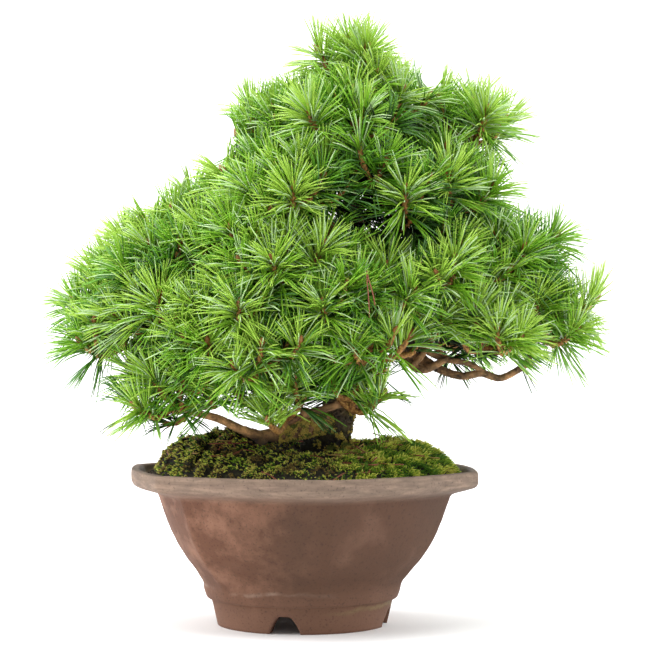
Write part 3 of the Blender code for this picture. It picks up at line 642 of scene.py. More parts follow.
def moss_height(points):
    """Height of the moss under points, from the share and angle at which they lie from the trunk's foot."""
    flat = points[..., :2] - np.array(TRUNK_ROUTE[0][:2])
    angle = np.arctan2(flat[..., 1], flat[..., 0])
    for _ in range(3):
        inner, outer = ground(0.0, angle)[..., :2], ground(1.0, angle)[..., :2]
        way = outer - inner
        share = ((points[..., :2] - inner) * way).sum(-1) / (way**2).sum(-1)
        off = points[..., :2] - (inner + way * share[..., None])
        across = np.stack([-np.sin(angle), np.cos(angle)], -1)
        angle = angle + (off * across).sum(-1) / np.maximum(np.linalg.norm(flat, axis=-1), 5)
    share = np.clip(share, 0, 1)
    return np.where(share < MOSS_END, moss_top(share, angle)[..., 2], ground(share, angle)[..., 2])


def arc(root, fork, aim, steps):
    """A stem's line: from its root to just past its fork, pulled towards its aim on the way."""
    t = np.linspace(0, 1, steps)[:, None]
    control = fork - aim * np.linalg.norm(fork - root) * STEM_BOW
    return bent(root, control, fork + aim, t)


def in_notches(points):
    """Which points lie in a notch of the outline, as they are seen from the photo's side."""
    seen = EYE + (points - EYE) * (EYE[1] / (EYE[1] - points[..., 1:2]))
    notch = np.array(NOTCHES, float)
    off = np.hypot(seen[..., None, 0] - notch[:, 0], seen[..., None, 2] - notch[:, 1])
    return (off < notch[:, 2]).any(-1)


def leaning(way, tilt, turn):
    """A direction that leans from another by tilt, towards the side that turn gives."""
    across = np.array(Vector(way).orthogonal().normalized())
    side = across * math.cos(turn) + np.cross(way, across) * math.sin(turn)
    return way * math.cos(tilt) + side * math.sin(tilt)


class Shoots:
    """Every shoot of the tree in millimetres: where its twig leaves, its foot, its direction, its length, how
    fine it is and a random seed of its own."""

    def __init__(self):
        self.rows = []
        self.stems = []
        self.middles = np.empty((0, 3))
        finer = []
        for name, (limb, x, y, z, shoots, spread) in MASSES.items():
            heart = np.array((x, y, z), float)
            aim = unit(unit(heart - GROWTH_FOCUS) + UP * LIGHT_PULL)
            fork = heart - aim * (CORE_LENGTH / 2 + LEADER)
            root = bough_line(limb, 2)[0][-3] if isinstance(limb, str) else trunk_at(limb)[0]
            self.stems.append((root, fork, aim))
            rng = random.Random(name)
            finer.append((rng, self.branch(rng, fork, aim, shoots, spread)))
            for mass, foot, way in CANDLES:
                if mass == name:
                    self.add(fork, np.array(foot, float), unit(way), SHOOT_LENGTH, 0, rng.random())
        self.mains = self.middles
        for rng, mains in finer:
            self.fork_again(rng, mains)
        for number, stem in enumerate(self.stems):
            line = arc(*stem, 12)
            self.inner(random.Random(number), line[3:])
        for name in BOUGHS:
            if name not in BARE_BOUGHS:
                self.inner(random.Random(name), bough_line(name, 5)[0][5:])
        self.inner(random.Random("trunk"), np.array([trunk_at(height)[0] for height in UPPER_TRUNK]))
        self.inner(random.Random("low limb"), bough_line("bough_left_low", 5)[0][-7:])
        self.leave, self.foot, self.way, self.length, self.level, self.seed = map(np.array, zip(*self.rows))

    def add(self, leave, foot, way, length, level, seed):
        """Adds a shoot unless it would crowd another, hang too low, reach out of the masses, stand in a
        notch of the outline or, where it is a finer one, fill a dark hollow. Depth counts for more than
        width there."""
        middle = foot + way * length / 2
        crowded = len(self.middles) and np.linalg.norm(self.middles - middle, axis=1).min() < SHOOT_SPACING
        if middle[2] < LOWEST_NEEDLE + 8 or (crowded and level):
            return
        end = foot + way * (length + NEEDLE_AHEAD)
        if level and np.linalg.norm(self.mains - end, axis=1).min() > MASS_REACH:
            return
        near = np.linalg.norm((HOLLOWS[:, :3] - middle) * (1, 1.6, 1), axis=1) < HOLLOWS[:, 3]
        if level == 1 and (near & (HOLLOWS[:, 4] > 0)).any():
            return
        if in_notches(np.array([middle, foot + way * (length + 4)])).any():
            return
        self.middles = np.vstack([self.middles, middle])
        self.rows.append((leave, foot, way, length, level, seed))

    def inner(self, rng, line):
        """Short shaded shoots along a stem or a bough, one at every other point, on either side in turn."""
        for number, (here, ahead) in enumerate(zip(line[:-1:2], line[1::2])):
            way = unit(ahead - here)
            lean = leaning(way, INNER_TILT, rng.uniform(0, 2 * math.pi) + number * math.pi)
            way = unit(lean + UP * LIGHT_PULL)
            self.add(here, here + lean * INNER_REACH, way, INNER_LENGTH, 2, rng.random())

    def branch(self, rng, fork, aim, shoots, spread):
        """The leader and its side shoots."""
        turn = rng.uniform(0, 2 * math.pi)
        mains = [(fork + aim * LEADER, unit(aim + UP * CANDLE_PULL))]
        for k in range(1, shoots):
            lean = leaning(aim, SIDE_TILT, turn + 2 * math.pi * k / (shoots - 1))
            mains.append((fork + lean * spread, unit(lean + UP * (LIGHT_PULL + CANDLE_PULL))))
        for foot, way in mains:
            self.add(fork, foot, way, SHOOT_LENGTH, 0, rng.random())
        return mains

    def fork_again(self, rng, mains):
        """Finer twigs round the foot of each main shoot."""
        for foot, way in mains:
            turn = rng.uniform(0, 2 * math.pi)
            for k in range(FINE_TWIGS):
                lean = leaning(way, FINE_TILT, turn + 2 * math.pi * k / FINE_TWIGS)
                rise = unit(lean + UP * (LIGHT_PULL + CANDLE_PULL))
                self.add(foot, foot + lean * FINE_REACH, rise, FINE_LENGTH, 1, rng.random())


def shoot_path(shoots, owner, share):
    """Places and directions along shoots: from where the twig leaves at -1 by a curved twig to its foot at
    0, and on to its tip at 1, which bends up by the square of the way along it."""
    way, foot = shoots.way[owner], shoots.foot[owner]
    length = shoots.length[owner][:, None]
    ahead = np.clip(share, 0, 1)[:, None]
    back = np.clip(share + 1, 0, 1)[:, None]
    control = foot - way * 2.5
    twig = bent(shoots.leave[owner], control, foot, back)
    places = np.where(share[:, None] < 0, twig, foot + length * (way * ahead + UP * SHOOT_RISE * ahead**2))
    return places, unit(way + UP * 2 * SHOOT_RISE * ahead)


def needle_fan(shoots, settings):
    """All needles as curved centre lines. Bundles stand round each shoot by the golden angle, leaning out
    less towards its tip, and five needles open from each bundle. A needle is a straight line bent by the
    square of the way along it: a level one sags, and all curl a little away from their shoot. Returns
    centres (needles, stations, 3), and each needle's place along its shoot and its shoot's number."""
    rng = np.random.default_rng(7)
    count = np.choose(shoots.level, (settings.bundles, settings.bundles_fine, settings.bundles_inner))
    owner = np.repeat(np.arange(len(count)), count)
    first = np.cumsum(count) - count
    number = np.arange(len(owner)) - first[owner]
    along = ((number + rng.uniform(0.2, 0.8, len(owner))) / count[owner]) ** 0.85
    back = np.where(shoots.level[owner] == 2, 0.0, TWIG_NEEDLES)
    base, way = shoot_path(shoots, owner, along * (1 + back) - back)
    spare = np.where(np.abs(way[:, 2:]) < 0.8, UP, np.array((1.0, 0.0, 0.0)))
    across = unit(spare - way * (way * spare).sum(1, keepdims=True))
    other = np.cross(way, across)
    turn = number * GOLDEN_ANGLE + shoots.seed[owner] * ANY_TURN + rng.normal(0, 0.15, len(owner))
    out = across * np.cos(turn)[:, None] + other * np.sin(turn)[:, None]
    tilt = np.radians(np.interp(along, (0, 1), NEEDLE_LEAN)) + rng.normal(0, 0.09, len(owner))
    lean = way * np.cos(tilt)[:, None] + out * np.sin(tilt)[:, None]
    base = base + out * 0.6

    five = np.repeat(np.arange(len(owner)), BUNDLE)
    spin = np.tile(np.arange(BUNDLE), len(owner)) * 2 * math.pi / BUNDLE
    spin = spin + rng.uniform(0, ANY_TURN, len(owner))[five]
    lead = lean[five]
    side = unit(np.cross(lead, way[five] + 0.01))
    third = np.cross(lead, side)
    opening = np.tan(np.radians(rng.uniform(3, 12, len(five))))
    ray = unit(lead + (side * np.cos(spin)[:, None] + third * np.sin(spin)[:, None]) * opening[:, None])
    full = settings.needle_length / MM * rng.uniform(0.84, 1.06, len(five)) * (1 - 0.10 * along[five] ** 2)
    full = full * np.where(shoots.level[owner[five]] == 0, 1.0, FINE_NEEDLES)
    level = 1 - ray[:, 2:] ** 2
    sag = rng.uniform(0.08, 0.30, (len(five), 1)) * level
    off = unit(ray - way[five] * (ray * way[five]).sum(1, keepdims=True))
    curl = rng.uniform(0.04, 0.20, (len(five), 1)) * off
    bend = (rng.normal(0, 0.028, (len(five), 3)) + curl - UP * sag) * full[:, None]
    t = np.array((0.0, 0.36, 0.72, 1.0))[None, :, None]
    centres = base[five][:, None, :] + ray[:, None, :] * full[:, None, None] * t + bend[:, None, :] * t**2
    return centres, along[five], owner[five]


def node(tree, kind, inputs, gives=0, stops=(), **settings):
    """Adds a shader node and returns the output that it gives. An input, by its name or number, is linked
    where its value is a socket and set otherwise, a hex colour as linear. Stops are a ramp's places and
    colours."""
    made = tree.nodes.new("ShaderNode" + kind)
    for name, value in settings.items():
        setattr(made, name, value)
    if stops:
        elements = made.color_ramp.elements
        while len(elements) < len(stops):
            elements.new(0.5)
        for element, (spot, colour) in zip(elements, stops):
            element.position = spot
            element.color = linear(colour)
    for name, value in inputs.items():
        if isinstance(value, bpy.types.NodeSocket):
            tree.links.new(value, made.inputs[name])
        else:
            made.inputs[name].default_value = linear(value) if isinstance(value, str) else value
    return made.outputs[gives]


def plain(name, colour, roughness, **sockets):
    """A material of one colour, with its values on the shader's own sockets."""
    finish = bpy.data.materials.new(name)
    finish.use_nodes = True
    shader = finish.node_tree.nodes["Principled BSDF"]
    shader.inputs["Base Color"].default_value = linear(colour)
    shader.inputs["Roughness"].default_value = roughness
    for socket, value in sockets.items():
        shader.inputs[socket.replace("_", " ")].default_value = value
    return finish


def patterned(name, colour, roughness):
    """A plain material to lay a pattern on: the material, its node tree and the part's own coordinates."""
    finish = plain(name, colour, roughness)
    return finish, finish.node_tree, node(finish.node_tree, "TexCoord", {}, "Object")


def laid_on(finish, colour, relief):
    """The material with its pattern's colour and relief on the shader."""
    inputs = finish.node_tree.nodes["Principled BSDF"].inputs
    finish.node_tree.links.new(colour, inputs["Base Color"])
    finish.node_tree.links.new(relief, inputs["Normal"])
    return finish


def darker(colour, share):
    """A hex colour with each channel multiplied by the share."""
    channels = [min(255, round(int(colour[i : i + 2], 16) * share)) for i in (1, 3, 5)]
    return "#" + "".join(f"{c:02x}" for c in channels)


def unglazed_clay(colour, bloom, rim):
    """Unglazed stoneware, brown from the kiln: a matt body with a fine grit, its left side painted redder and
    paler as painted light from that side, where watering has left lime bloom in soft patches that are weighted
    to the lit left and so carry painted light as well, a foot painted paler with the bloom colour as painted
    light thrown up from the floor, a broken wavy pale line over the left of the foot and a lime line where
    water dries over the right of it, and a rim worn paler and greyer by handling, in streaks along it."""
    finish, tree, where = patterned("unglazed brown stoneware", colour, 0.82)
    height = node(tree, "SeparateXYZ", {0: where}, "Z")
    across = node(tree, "SeparateXYZ", {0: where}, "X")

    cloud = node(tree, "TexNoise", {"Vector": where, "Scale": PER_MM / 60, "Detail": 4, "Roughness": 0.55})
    kiln = ((0.40, darker(colour, 0.94)), (0.60, colour), (0.78, darker(bloom, 0.86)))
    body = node(tree, "ValToRGB", {0: cloud}, stops=kiln)
    # Painted light: the left side of the body is painted redder and paler, as lit from that side
    left = node(tree, "MapRange", {0: across, "From Min": -0.015, "From Max": -0.07, "To Max": 0.45})
    lit_left_body = node(tree, "Mix", {0: left, 6: body, 7: "#74462f"}, 2, data_type="RGBA")

    patches = node(tree, "TexNoise", {"Vector": where, "Scale": PER_MM / 22, "Detail": 6, "Roughness": 0.6})
    stain = node(tree, "ValToRGB", {0: patches}, stops=((0.46, "#000000"), (0.62, "#ffffff")))
    # The bloom patches are weighted to the lit left side, so there they are partly painted light
    left = node(tree, "MapRange", {0: across, "From Min": 0, "From Max": -0.06, "To Max": 0.7})
    left = node(tree, "Math", {0: stain, 1: left}, operation="MULTIPLY")
    bloom_and_lit_left = node(tree, "Mix", {0: left, 6: lit_left_body, 7: darker(bloom, 1.1)}, 2, data_type="RGBA")
    # Painted light: the foot is painted paler with the bloom colour, as light thrown up from the floor
    low = node(tree, "MapRange", {0: height, "From Min": 0.030, "From Max": 0.002, "To Max": 0.75})
    lit_foot_tone = node(tree, "Mix", {0: low, 6: bloom_and_lit_left, 7: bloom}, 2, data_type="RGBA")

    swell = node(tree, "TexNoise", {"Vector": where, "Scale": PER_MM / 16, "Detail": 3})
    wave = node(tree, "Math", {0: swell, 1: 0.010, 2: height}, operation="MULTIPLY_ADD")
    for middle, start, end, tint in FOOT_LINES:
        level = node(tree, "MapRange", {0: wave, "From Min": middle + 0.003, "From Max": middle + 0.007})
        edges = ((0.1, "#000000"), (0.5, "#ffffff"), (0.9, "#000000"))
        band = node(tree, "ValToRGB", {0: level}, stops=edges)
        gaps = node(tree, "TexNoise", {"Vector": where, "Scale": PER_MM / 24, "Detail": 5})
        broken = node(tree, "ValToRGB", {0: gaps}, stops=((0.42, "#000000"), (0.60, "#d0d0d0")))
        line = node(tree, "Math", {0: band, 1: broken}, operation="MULTIPLY")
        side = node(tree, "MapRange", {0: across, "From Min": start, "From Max": end, "To Max": 0.8})
        line = node(tree, "Math", {0: line, 1: side}, operation="MULTIPLY")
        lit_foot_tone = node(tree, "Mix", {0: line, 6: lit_foot_tone, 7: tint}, 2, data_type="RGBA")

    drawn = node(tree, "Mapping", {"Vector": where, "Scale": (1, 1, 7)})
    streaks = node(tree, "TexNoise", {"Vector": drawn, "Scale": PER_MM / 14, "Detail": 5, "Roughness": 0.6})
    handled = ((0.36, darker(rim, 0.86)), (0.52, rim), (0.66, darker(rim, 1.14)))
    worn = node(tree, "ValToRGB", {0: streaks}, stops=handled)
    lip = node(tree, "MapRange", {0: height, "From Min": 0.074, "From Max": 0.081, "To Max": 0.85})
    rimmed = node(tree, "Mix", {0: lip, 6: lit_foot_tone, 7: worn}, 2, data_type="RGBA")

    grit = node(tree, "TexNoise", {"Vector": where, "Scale": PER_MM / 1.3, "Detail": 3})
    pores = ((0.30, "#8f8f8f"), (0.42, "#f4f4f4"), (0.72, "#ffffff"))
    specks = node(tree, "ValToRGB", {0: grit}, stops=pores)
    tone = node(tree, "Mix", {0: 0.55, 6: rimmed, 7: specks}, 2, data_type="RGBA", blend_type="MULTIPLY")
    fine = node(tree, "Bump", {"Height": grit, "Strength": 0.25, "Distance": 0.4 * MM})
    hand = node(tree, "TexNoise", {"Vector": where, "Scale": PER_MM / 7, "Detail": 3})
    relief = node(tree, "Bump", {"Height": hand, "Normal": fine, "Strength": 0.18, "Distance": 1.2 * MM})
    return laid_on(finish, tone, relief)


def pine_bark(name, colour, moss, moss_top):
    """Old pine bark: grey brown plates 6 mm across with dark cracks between them, green algae that thins out
    up to a height, and painted shade low down, where the bark is painted nearly black near the ground."""
    finish, tree, where = patterned(name, colour, 0.9)
    plates = node(tree, "TexNoise", {"Vector": where, "Scale": PER_MM / 6, "Detail": 6, "Roughness": 0.65})
    shades = zip((0.32, 0.47, 0.60, 0.72), (darker(colour, share) for share in (0.42, 1, 1.35, 1.7)))
    tone = node(tree, "ValToRGB", {0: plates}, stops=tuple(shades))
    height = node(tree, "SeparateXYZ", {0: where}, "Z")
    low = node(tree, "MapRange", {0: height, "From Min": moss_top * MM, "From Max": 0.098})
    spread = node(tree, "TexNoise", {"Vector": where, "Scale": PER_MM / 11, "Detail": 5})
    patch = node(tree, "ValToRGB", {0: spread}, stops=((0.46, "#000000"), (0.58, "#ffffff")))
    cover = node(tree, "Math", {0: low, 1: patch}, operation="MULTIPLY")
    green = node(tree, "Mix", {0: cover, 6: tone, 7: moss}, 2, data_type="RGBA")
    # Painted shade: below 113 mm the bark is painted nearly black, as the shade near the ground
    shade_near_ground = node(tree, "MapRange", {0: height, "From Min": 0.113, "From Max": 0.104, "To Max": 0.92})
    tone = node(tree, "Mix", {0: shade_near_ground, 6: green, 7: "#0f0b07"}, 2, data_type="RGBA")
    return laid_on(finish, tone, node(tree, "Bump", {"Height": plates, "Strength": 0.8, "Distance": MM}))


def speckled(name, colours, size, roughness):
    """A matt grainy finish in which the colours follow each other from the hollows to the tops of a noise."""
    finish, tree, where = patterned(name, colours[len(colours) // 2], roughness)
    grain = node(tree, "TexNoise", {"Vector": where, "Scale": PER_MM / size, "Detail": 6, "Roughness": 0.6})
    spots = (0.34 + 0.32 * i / (len(colours) - 1) for i in range(len(colours)))
    tone = node(tree, "ValToRGB", {0: grain}, stops=tuple(zip(spots, colours)))
    return laid_on(finish, tone, node(tree, "Bump", {"Height": grain, "Strength": 0.5, "Distance": 0.8 * MM}))


class PotSettings(bpy.types.PropertyGroup):
    """Sizes and colours of the clay pot."""

    spacing: bpy.props.FloatProperty(
        name="Spacing", description="Distance between the profile's points", default=1.4 * MM, unit="LENGTH"
    )
    steps: bpy.props.IntProperty(name="Steps", description="Points round the pot", default=240, min=48)
    clay: bpy.props.StringProperty(name="Clay", description="Fired clay, as sRGB hex", default="#4f321f")
    bloom: bpy.props.StringProperty(name="Bloom", description="Lime bloom, as sRGB hex", default="#805c48")
    rim: bpy.props.StringProperty(name="Rim", description="Worn rim, as sRGB hex", default="#7f6c5d")


class GroundSettings(bpy.types.PropertyGroup):
    """Soil and moss."""

    sprigs: bpy.props.IntProperty(name="Sprigs", description="Moss sprigs in all", default=34000, min=0)
    sprig: bpy.props.FloatProperty(
        name="Sprig", description="Length of a moss sprig", default=2.6 * MM, unit="LENGTH"
    )
    grains: bpy.props.IntProperty(name="Grains", description="Grains of grit in all", default=2600, min=0)
    fallen: bpy.props.IntProperty(name="Fallen needles", description="Dry needles on the moss", default=80)


class TreeSettings(bpy.types.PropertyGroup):
    """Bark, shoots and needles."""

    bark: bpy.props.StringProperty(name="Bark", description="Old bark, as sRGB hex", default="#54442e")
    young_bark: bpy.props.StringProperty(
        name="Young bark", description="Boughs' bark, as sRGB hex", default="#735739"
    )
    algae: bpy.props.StringProperty(
        name="Algae", description="Green on the low bark, as sRGB hex", default="#5a5a22"
    )
    relief: bpy.props.FloatProperty(
        name="Relief", description="Height of the trunk's bark plates", default=0.7 * MM, unit="LENGTH"
    )
    bundles: bpy.props.IntProperty(name="Bundles", description="Needle bundles on a main shoot", default=31)
    bundles_fine: bpy.props.IntProperty(
        name="Fine bundles", description="Bundles on a finer twig", default=17
    )
    bundles_inner: bpy.props.IntProperty(
        name="Inner bundles", description="Bundles on an inner shoot", default=9
    )
    needle_length: bpy.props.FloatProperty(
        name="Needle length", description="Longest needles", default=24.5 * MM, unit="LENGTH"
    )
    needle_width: bpy.props.FloatProperty(
        name="Needle width", description="Across one needle", default=0.88 * MM, unit="LENGTH"
    )


class StageSettings(bpy.types.PropertyGroup):
    """Camera and light, from the pot's axis."""

    camera_right: bpy.props.FloatProperty(
        name="Camera right", description="Camera right of the pot's axis", default=EYE[0] * MM, unit="LENGTH"
    )
    camera_away: bpy.props.FloatProperty(
        name="Camera away", description="Camera in front of the axis", default=-EYE[1] * MM, unit="LENGTH"
    )
    camera_height: bpy.props.FloatProperty(
        name="Camera height", description="Camera above the floor", default=EYE[2] * MM, unit="LENGTH"
    )
    lens: bpy.props.FloatProperty(name="Lens", description="Focal length in millimetres", default=118.0)


class BONSAI_OT_pot(bpy.types.Operator):
    """Six-sided clay pot with a flared lip and a notched foot ring"""

    bl_idname = "bonsai.pot"
    bl_label = "Clay pot"

    def execute(self, context):
        """The pot is its filleted profile carried round the axis. At each angle the profile's reach is
        scaled by the six-sidedness, the foot's underside is lifted over the notches, and waves give the body
        the unevenness of hand work."""
        settings = context.scene.bonsai_pot
        spacing = settings.spacing / MM
        outside = resampled(filleted(POT_OUTSIDE), spacing)
        under = resampled(filleted(POT_UNDER), spacing)
        profile = np.vstack([outside[:-1], under[:-1]])
        angle = 2 * math.pi * np.arange(settings.steps) / settings.steps + POT_TURN
        radius, height, shaped = profile.T
        reach = radius[:, None] * (1 + (six_sided(angle) - 1)[None] * shaped[:, None])
        lift = notch_lift(angle[None], np.maximum(reach, 1.0))
        ring = (radius > FOOT_INSIDE - 0.8) & (height < NOTCH_HEIGHT)
        tall = np.where(ring[:, None], np.maximum(height[:, None], lift), height[:, None])
        points = ring_points(reach, angle, tall)
        hand = waves(points, 60.0, 3) * 0.25 + waves(points * (1, 1, 3), 24.0, 4) * 0.08
        free = np.clip((height - 12) / 6, 0, 1)[:, None, None]
        points = points + ring_points(1, angle, 0) * hand[..., None] * free
        piece = make_mesh("clay_pot", place(points), grid_faces(len(profile), settings.steps, closed=True))
        tidy_mesh(piece)
        dress(piece, unglazed_clay(settings.clay, settings.bloom, settings.rim), "clay", "pot")
        return {"FINISHED"}


class BONSAI_OT_soil(bpy.types.Operator):
    """Dark gritty soil that fills the pot, with loose grains on it"""

    bl_idname = "bonsai.soil"
    bl_label = "Soil"

    def execute(self, context):
        """The soil's surface is the ground function on a grid of share and angle, roughened by waves. It is
        closed down the pot's wall to a pole on the floor, and grains are small tubes with two poles."""
        rings, around = SOIL_GRID
        angle = 2 * math.pi * np.arange(around) / around
        shares = np.append(np.linspace(1.0, 0.0, rings), 0.0)
        top = ground(shares[:, None], angle[None])
        rough = waves(top * (1, 1, 0), 5.0, 21) * 0.35 + waves(top * (1, 1, 0), 1.8, 22) * 0.25
        top[..., 2] += rough * np.clip((1 - shares) * 8, 0.2, 1)[:, None] - 0.2
        top[-1] = (TRUNK_ROUTE[0][0], TRUNK_ROUTE[0][1], SOIL_CROWN - 0.3)
        radius, height, shaped = np.array(SOIL_WALL).T[..., None]
        wall = ring_points(radius * (1 + (six_sided(angle) - 1) * shaped), angle, height)
        points = np.concatenate([wall, top])
        piece = make_mesh("soil_bed", place(points), grid_faces(len(points), len(angle)))
        tidy_mesh(piece)
        # Moist grit is dark and dull, and its paler grains pick out the surface between the moss and the rim
        finish = speckled("moist potting grit", ("#17120d", "#33291f", "#4c4033", "#6a5b4a"), 2.2, 0.95)
        dress(piece, finish, "soil", "soil")
        self.grains(context.scene.bonsai_ground.grains, finish)
        return {"FINISHED"}

    def grains(self, count, finish):
        """Grains lie where the moss leaves the soil bare: most along the pot's edge and the rest at the
        collar."""
        rng = np.random.default_rng(31)
        at_rim = rng.random(count) < 0.8
        share = np.where(at_rim, rng.uniform(0.86, 0.995, count), rng.uniform(-0.1, 0.2, count))
        where = ground(share, rng.uniform(0, 2 * math.pi, count))
        size = rng.uniform(0.5, 1.5, (count, 1))
        where[:, 2] += size[:, 0] * 0.3
        way = unit(rng.normal(size=(count, 3)))
        stations = np.array((-0.6, 0.1, 0.7))[None, :, None]
        centres = where[:, None] + way[:, None] * size[:, None] * stations
        radii = size * rng.uniform(0.5, 0.9, (count, 3))
        rings, poles, _ = sweep(centres, radii, 5)
        poles = poles + way[:, None] * size[:, None] * np.array((-0.35, 0.35))[None, :, None]
        piece = tube_mesh("soil_grains", place(rings), place(poles))
        dress(piece, finish, "soil")


class BONSAI_OT_moss(bpy.types.Operator):
    """Cushions of olive moss on the soil, and dry needles fallen on them"""

    bl_idname = "bonsai.moss"
    bl_label = "Moss"

    def execute(self, context):
        """The mat is the moss_top surface closed by the soil's surface under it. Sprigs are small pointed
        tubes that stand on it, spread evenly over its area, leaning every way."""
        settings = context.scene.bonsai_ground
        rings, around = MOSS_GRID
        angle = 2 * math.pi * np.arange(around) / around
        shares = np.linspace(MOSS_START, MOSS_END, rings)
        top = moss_top(shares[:, None], angle[None])
        top[..., 2] += waves(top * (1, 1, 0), 2.4, 13) * 0.3
        under = ground(shares[::-1, None], angle[None]) + UP * 0.45
        points = np.concatenate([under, top])
        mat = make_mesh("moss_mat", place(points), grid_faces(len(points), len(angle), closed=True))
        tidy_mesh(mat)
        # Humus and dead moss make the dark that shows between live sprigs: their own dark colour, painted
        # nearly black as the shade in the gaps as well
        finish = speckled("moss and humus", ("#090703", "#140f07", "#211b0c", "#353412"), 2.6, 0.95)
        dress(mat, finish, "moss", "moss")
        self.sprigs(settings)
        self.climbing(settings)
        self.litter(settings)
        return {"FINISHED"}

    def sprigs(self, settings):
        """Pointed tubes of three sides on the mat. Old moss grows on its lumps and leaves the hollows bare,
        where the near-black mat shows as painted shade, and the young cushion is whole. Under the low boughs
        the sprigs are left out, a painted shadow where the mat shows. Clumps of one tint follow smooth fields
        over the ground, and on the young cushion the lumps' tops take the paler tints and the hollows the deep
        green, as painted light and shade."""
        rng = np.random.default_rng(41)
        count = settings.sprigs
        share = np.sqrt(rng.uniform(MOSS_START**2, MOSS_END**2, count))
        angle = rng.uniform(0, 2 * math.pi, count)
        foot = moss_top(share, angle)
        young = young_moss(foot)
        chance = np.clip(0.44 + 0.5 * moss_clumps(foot), 0.04, 1) * (1 - young)
        chance += np.clip(0.66 + 0.5 * moss_clumps(foot), 0.12, 1) * young
        # Painted shadow: under the low boughs sprigs are left out, so that the near-black mat shows there
        bare = np.exp(-(((foot[:, 0] - 2) / 17) ** 4) - ((foot[:, 1] + 24) / 9) ** 4)
        grown = rng.random(count) < chance * (1 - 0.92 * bare)
        foot, young = foot[grown], young[grown]
        count = len(foot)
        body = np.stack([foot[:, 0] - TRUNK_ROUTE[0][0], foot[:, 1], np.full(count, 40.0)], -1)
        way = unit(unit(body) + rng.normal(0, 0.36, (count, 3)))
        length = settings.sprig / MM * rng.uniform(0.55, 1.1, count) * (0.8 + 0.95 * young)
        t = np.array((-0.1, 0.45, 0.95))[None, :, None]
        droop = np.array((0.0, 0.0, -0.2))
        length = length[:, None, None]
        centres = foot[:, None] + way[:, None] * (length * t) + droop * length * t**2
        thick = rng.uniform(0.7, 1.2, (count, 1)) * (1 - 0.2 * young[:, None])
        radii = np.array((0.28, 0.40, 0.12)) * thick
        rings, _, _ = sweep(centres, radii, 3)
        field = waves(foot * (1, 1, 0), 18.0, 42) * 0.8 + rng.normal(0, 0.7, count)
        # Painted light and shade: on the young cushion the lumps' tops take the paler tints and the hollows
        # the deep green
        high = np.clip(moss_clumps(foot) * 0.5, -1, 1)
        olden = np.select((field < -0.8, field < 0.2, field < 0.8, field < 1.5), (2, 0, 1, 3), 4)
        fresh = np.select((field + high < -0.4, field + high < 0.7, field < 1.6), (1, 4, 3), 0)
        tint = np.where(rng.random(count) < young, fresh, olden)
        # Live moss leaves are nearly matt, so that a cushion looks soft and deep and shows no highlight
        for number, (name, colour) in enumerate(MOSS_TINTS):
            chosen = np.flatnonzero(tint == number)
            for part in range(0, len(chosen), SPRIGS_A_PIECE):
                rows = chosen[part : part + SPRIGS_A_PIECE]
                piece = tube_mesh(f"moss_{name}_{part // SPRIGS_A_PIECE}", place(rings[rows]))
                dress(piece, plain(f"{name} moss sprigs", colour, 0.8), "moss")

    def climbing(self, settings):
        """Short sprigs that climb the foot of the trunk in patches, thickest at the ground on its right, and
        clothe the start of the low left bough."""
        rng = np.random.default_rng(43)
        count = settings.sprigs // 4
        height = TRUNK_ROUTE[0][2] + 1 + 26 * rng.random(count) ** 1.5
        centres, radii = trunk_line(TRUNK_STEPS)
        middle = np.stack([np.interp(height, centres[:, 2], centres[:, axis]) for axis in range(3)], -1)
        girth = np.interp(height, centres[:, 2], radii)
        angle = rng.uniform(0, 2 * math.pi, count)
        out = ring_points(1, angle, 0)
        foot = middle + out * (girth * (1 + root_flare(height, angle)))[:, None]
        side = np.cos(angle - math.radians(20)) * 0.6
        grown = waves(foot, 9.0, 44) + waves(foot, 4.0, 45) * 0.5 + side - (height - 104) * 0.05 > 0.2
        centres, radii = limb_line("bough_left_low", LIMB_STEPS)
        rings, _, around = sweep(centres[None], radii[None], 48)
        mossy = (rings[0, ..., 0] > -13) & (waves(rings[0], 6.0, 47) > -0.5)
        spots = np.repeat(np.flatnonzero(mossy.ravel()), 3)
        foot = np.vstack([foot[grown], rings[0].reshape(-1, 3)[spots] + rng.normal(0, 0.25, (len(spots), 3))])
        out = np.vstack([out[grown], around[0].reshape(-1, 3)[spots]])
        way = unit(out + UP * 0.4 + rng.normal(0, 0.35, out.shape))
        length = rng.uniform(0.8, 1.7, len(foot))[:, None, None]
        t = np.array((-0.2, 0.4, 0.95))[None, :, None]
        girth = np.array((0.3, 0.4, 0.12)) * np.ones((len(foot), 1))
        rings, _, _ = sweep(foot[:, None] + way[:, None] * length * t, girth, 3)
        pale = waves(foot, 7.0, 46) + rng.normal(0, 0.5, len(foot)) > -0.3
        # Moss on bark is drier, a matt tawny fur with darker tufts in it
        for name, colour, chosen in (("tawny", "#b8a24c", pale), ("dark", "#626a24", ~pale)):
            piece = tube_mesh(f"trunk_moss_{name}", place(rings[chosen]))
            dress(piece, plain(f"{name} moss on bark", colour, 0.85), "moss")

    def litter(self, settings):
        """Dry needles that lie on the moss, as thin bent tubes a little above its surface, and a red pair
        that is caught in the crown."""
        rng = np.random.default_rng(51)
        count = settings.fallen
        share, angle = rng.uniform(0.1, 0.93, count), rng.uniform(0, 2 * math.pi, count)
        foot = moss_top(share, angle) + UP * 1.6
        way = unit(rng.normal(size=(count, 3)) * (1, 1, 0.05))
        t = np.linspace(-0.5, 0.5, 5)[None, :, None]
        bend = np.cross(way, UP) * rng.normal(0, 2.4, (count, 1))
        length = rng.uniform(14, 28, count)
        centres = foot[:, None] + way[:, None] * length[:, None, None] * t + bend[:, None] * t**2
        centres[..., 2] = np.maximum(centres[..., 2] - 1.0, moss_height(centres) + 0.9)
        centres = np.concatenate([centres, CAUGHT_PAIR])
        rings, _, _ = sweep(centres, np.full((len(centres), 5), 0.42), 3)
        straw = np.append(rng.random(count) < 0.2, (False, False))
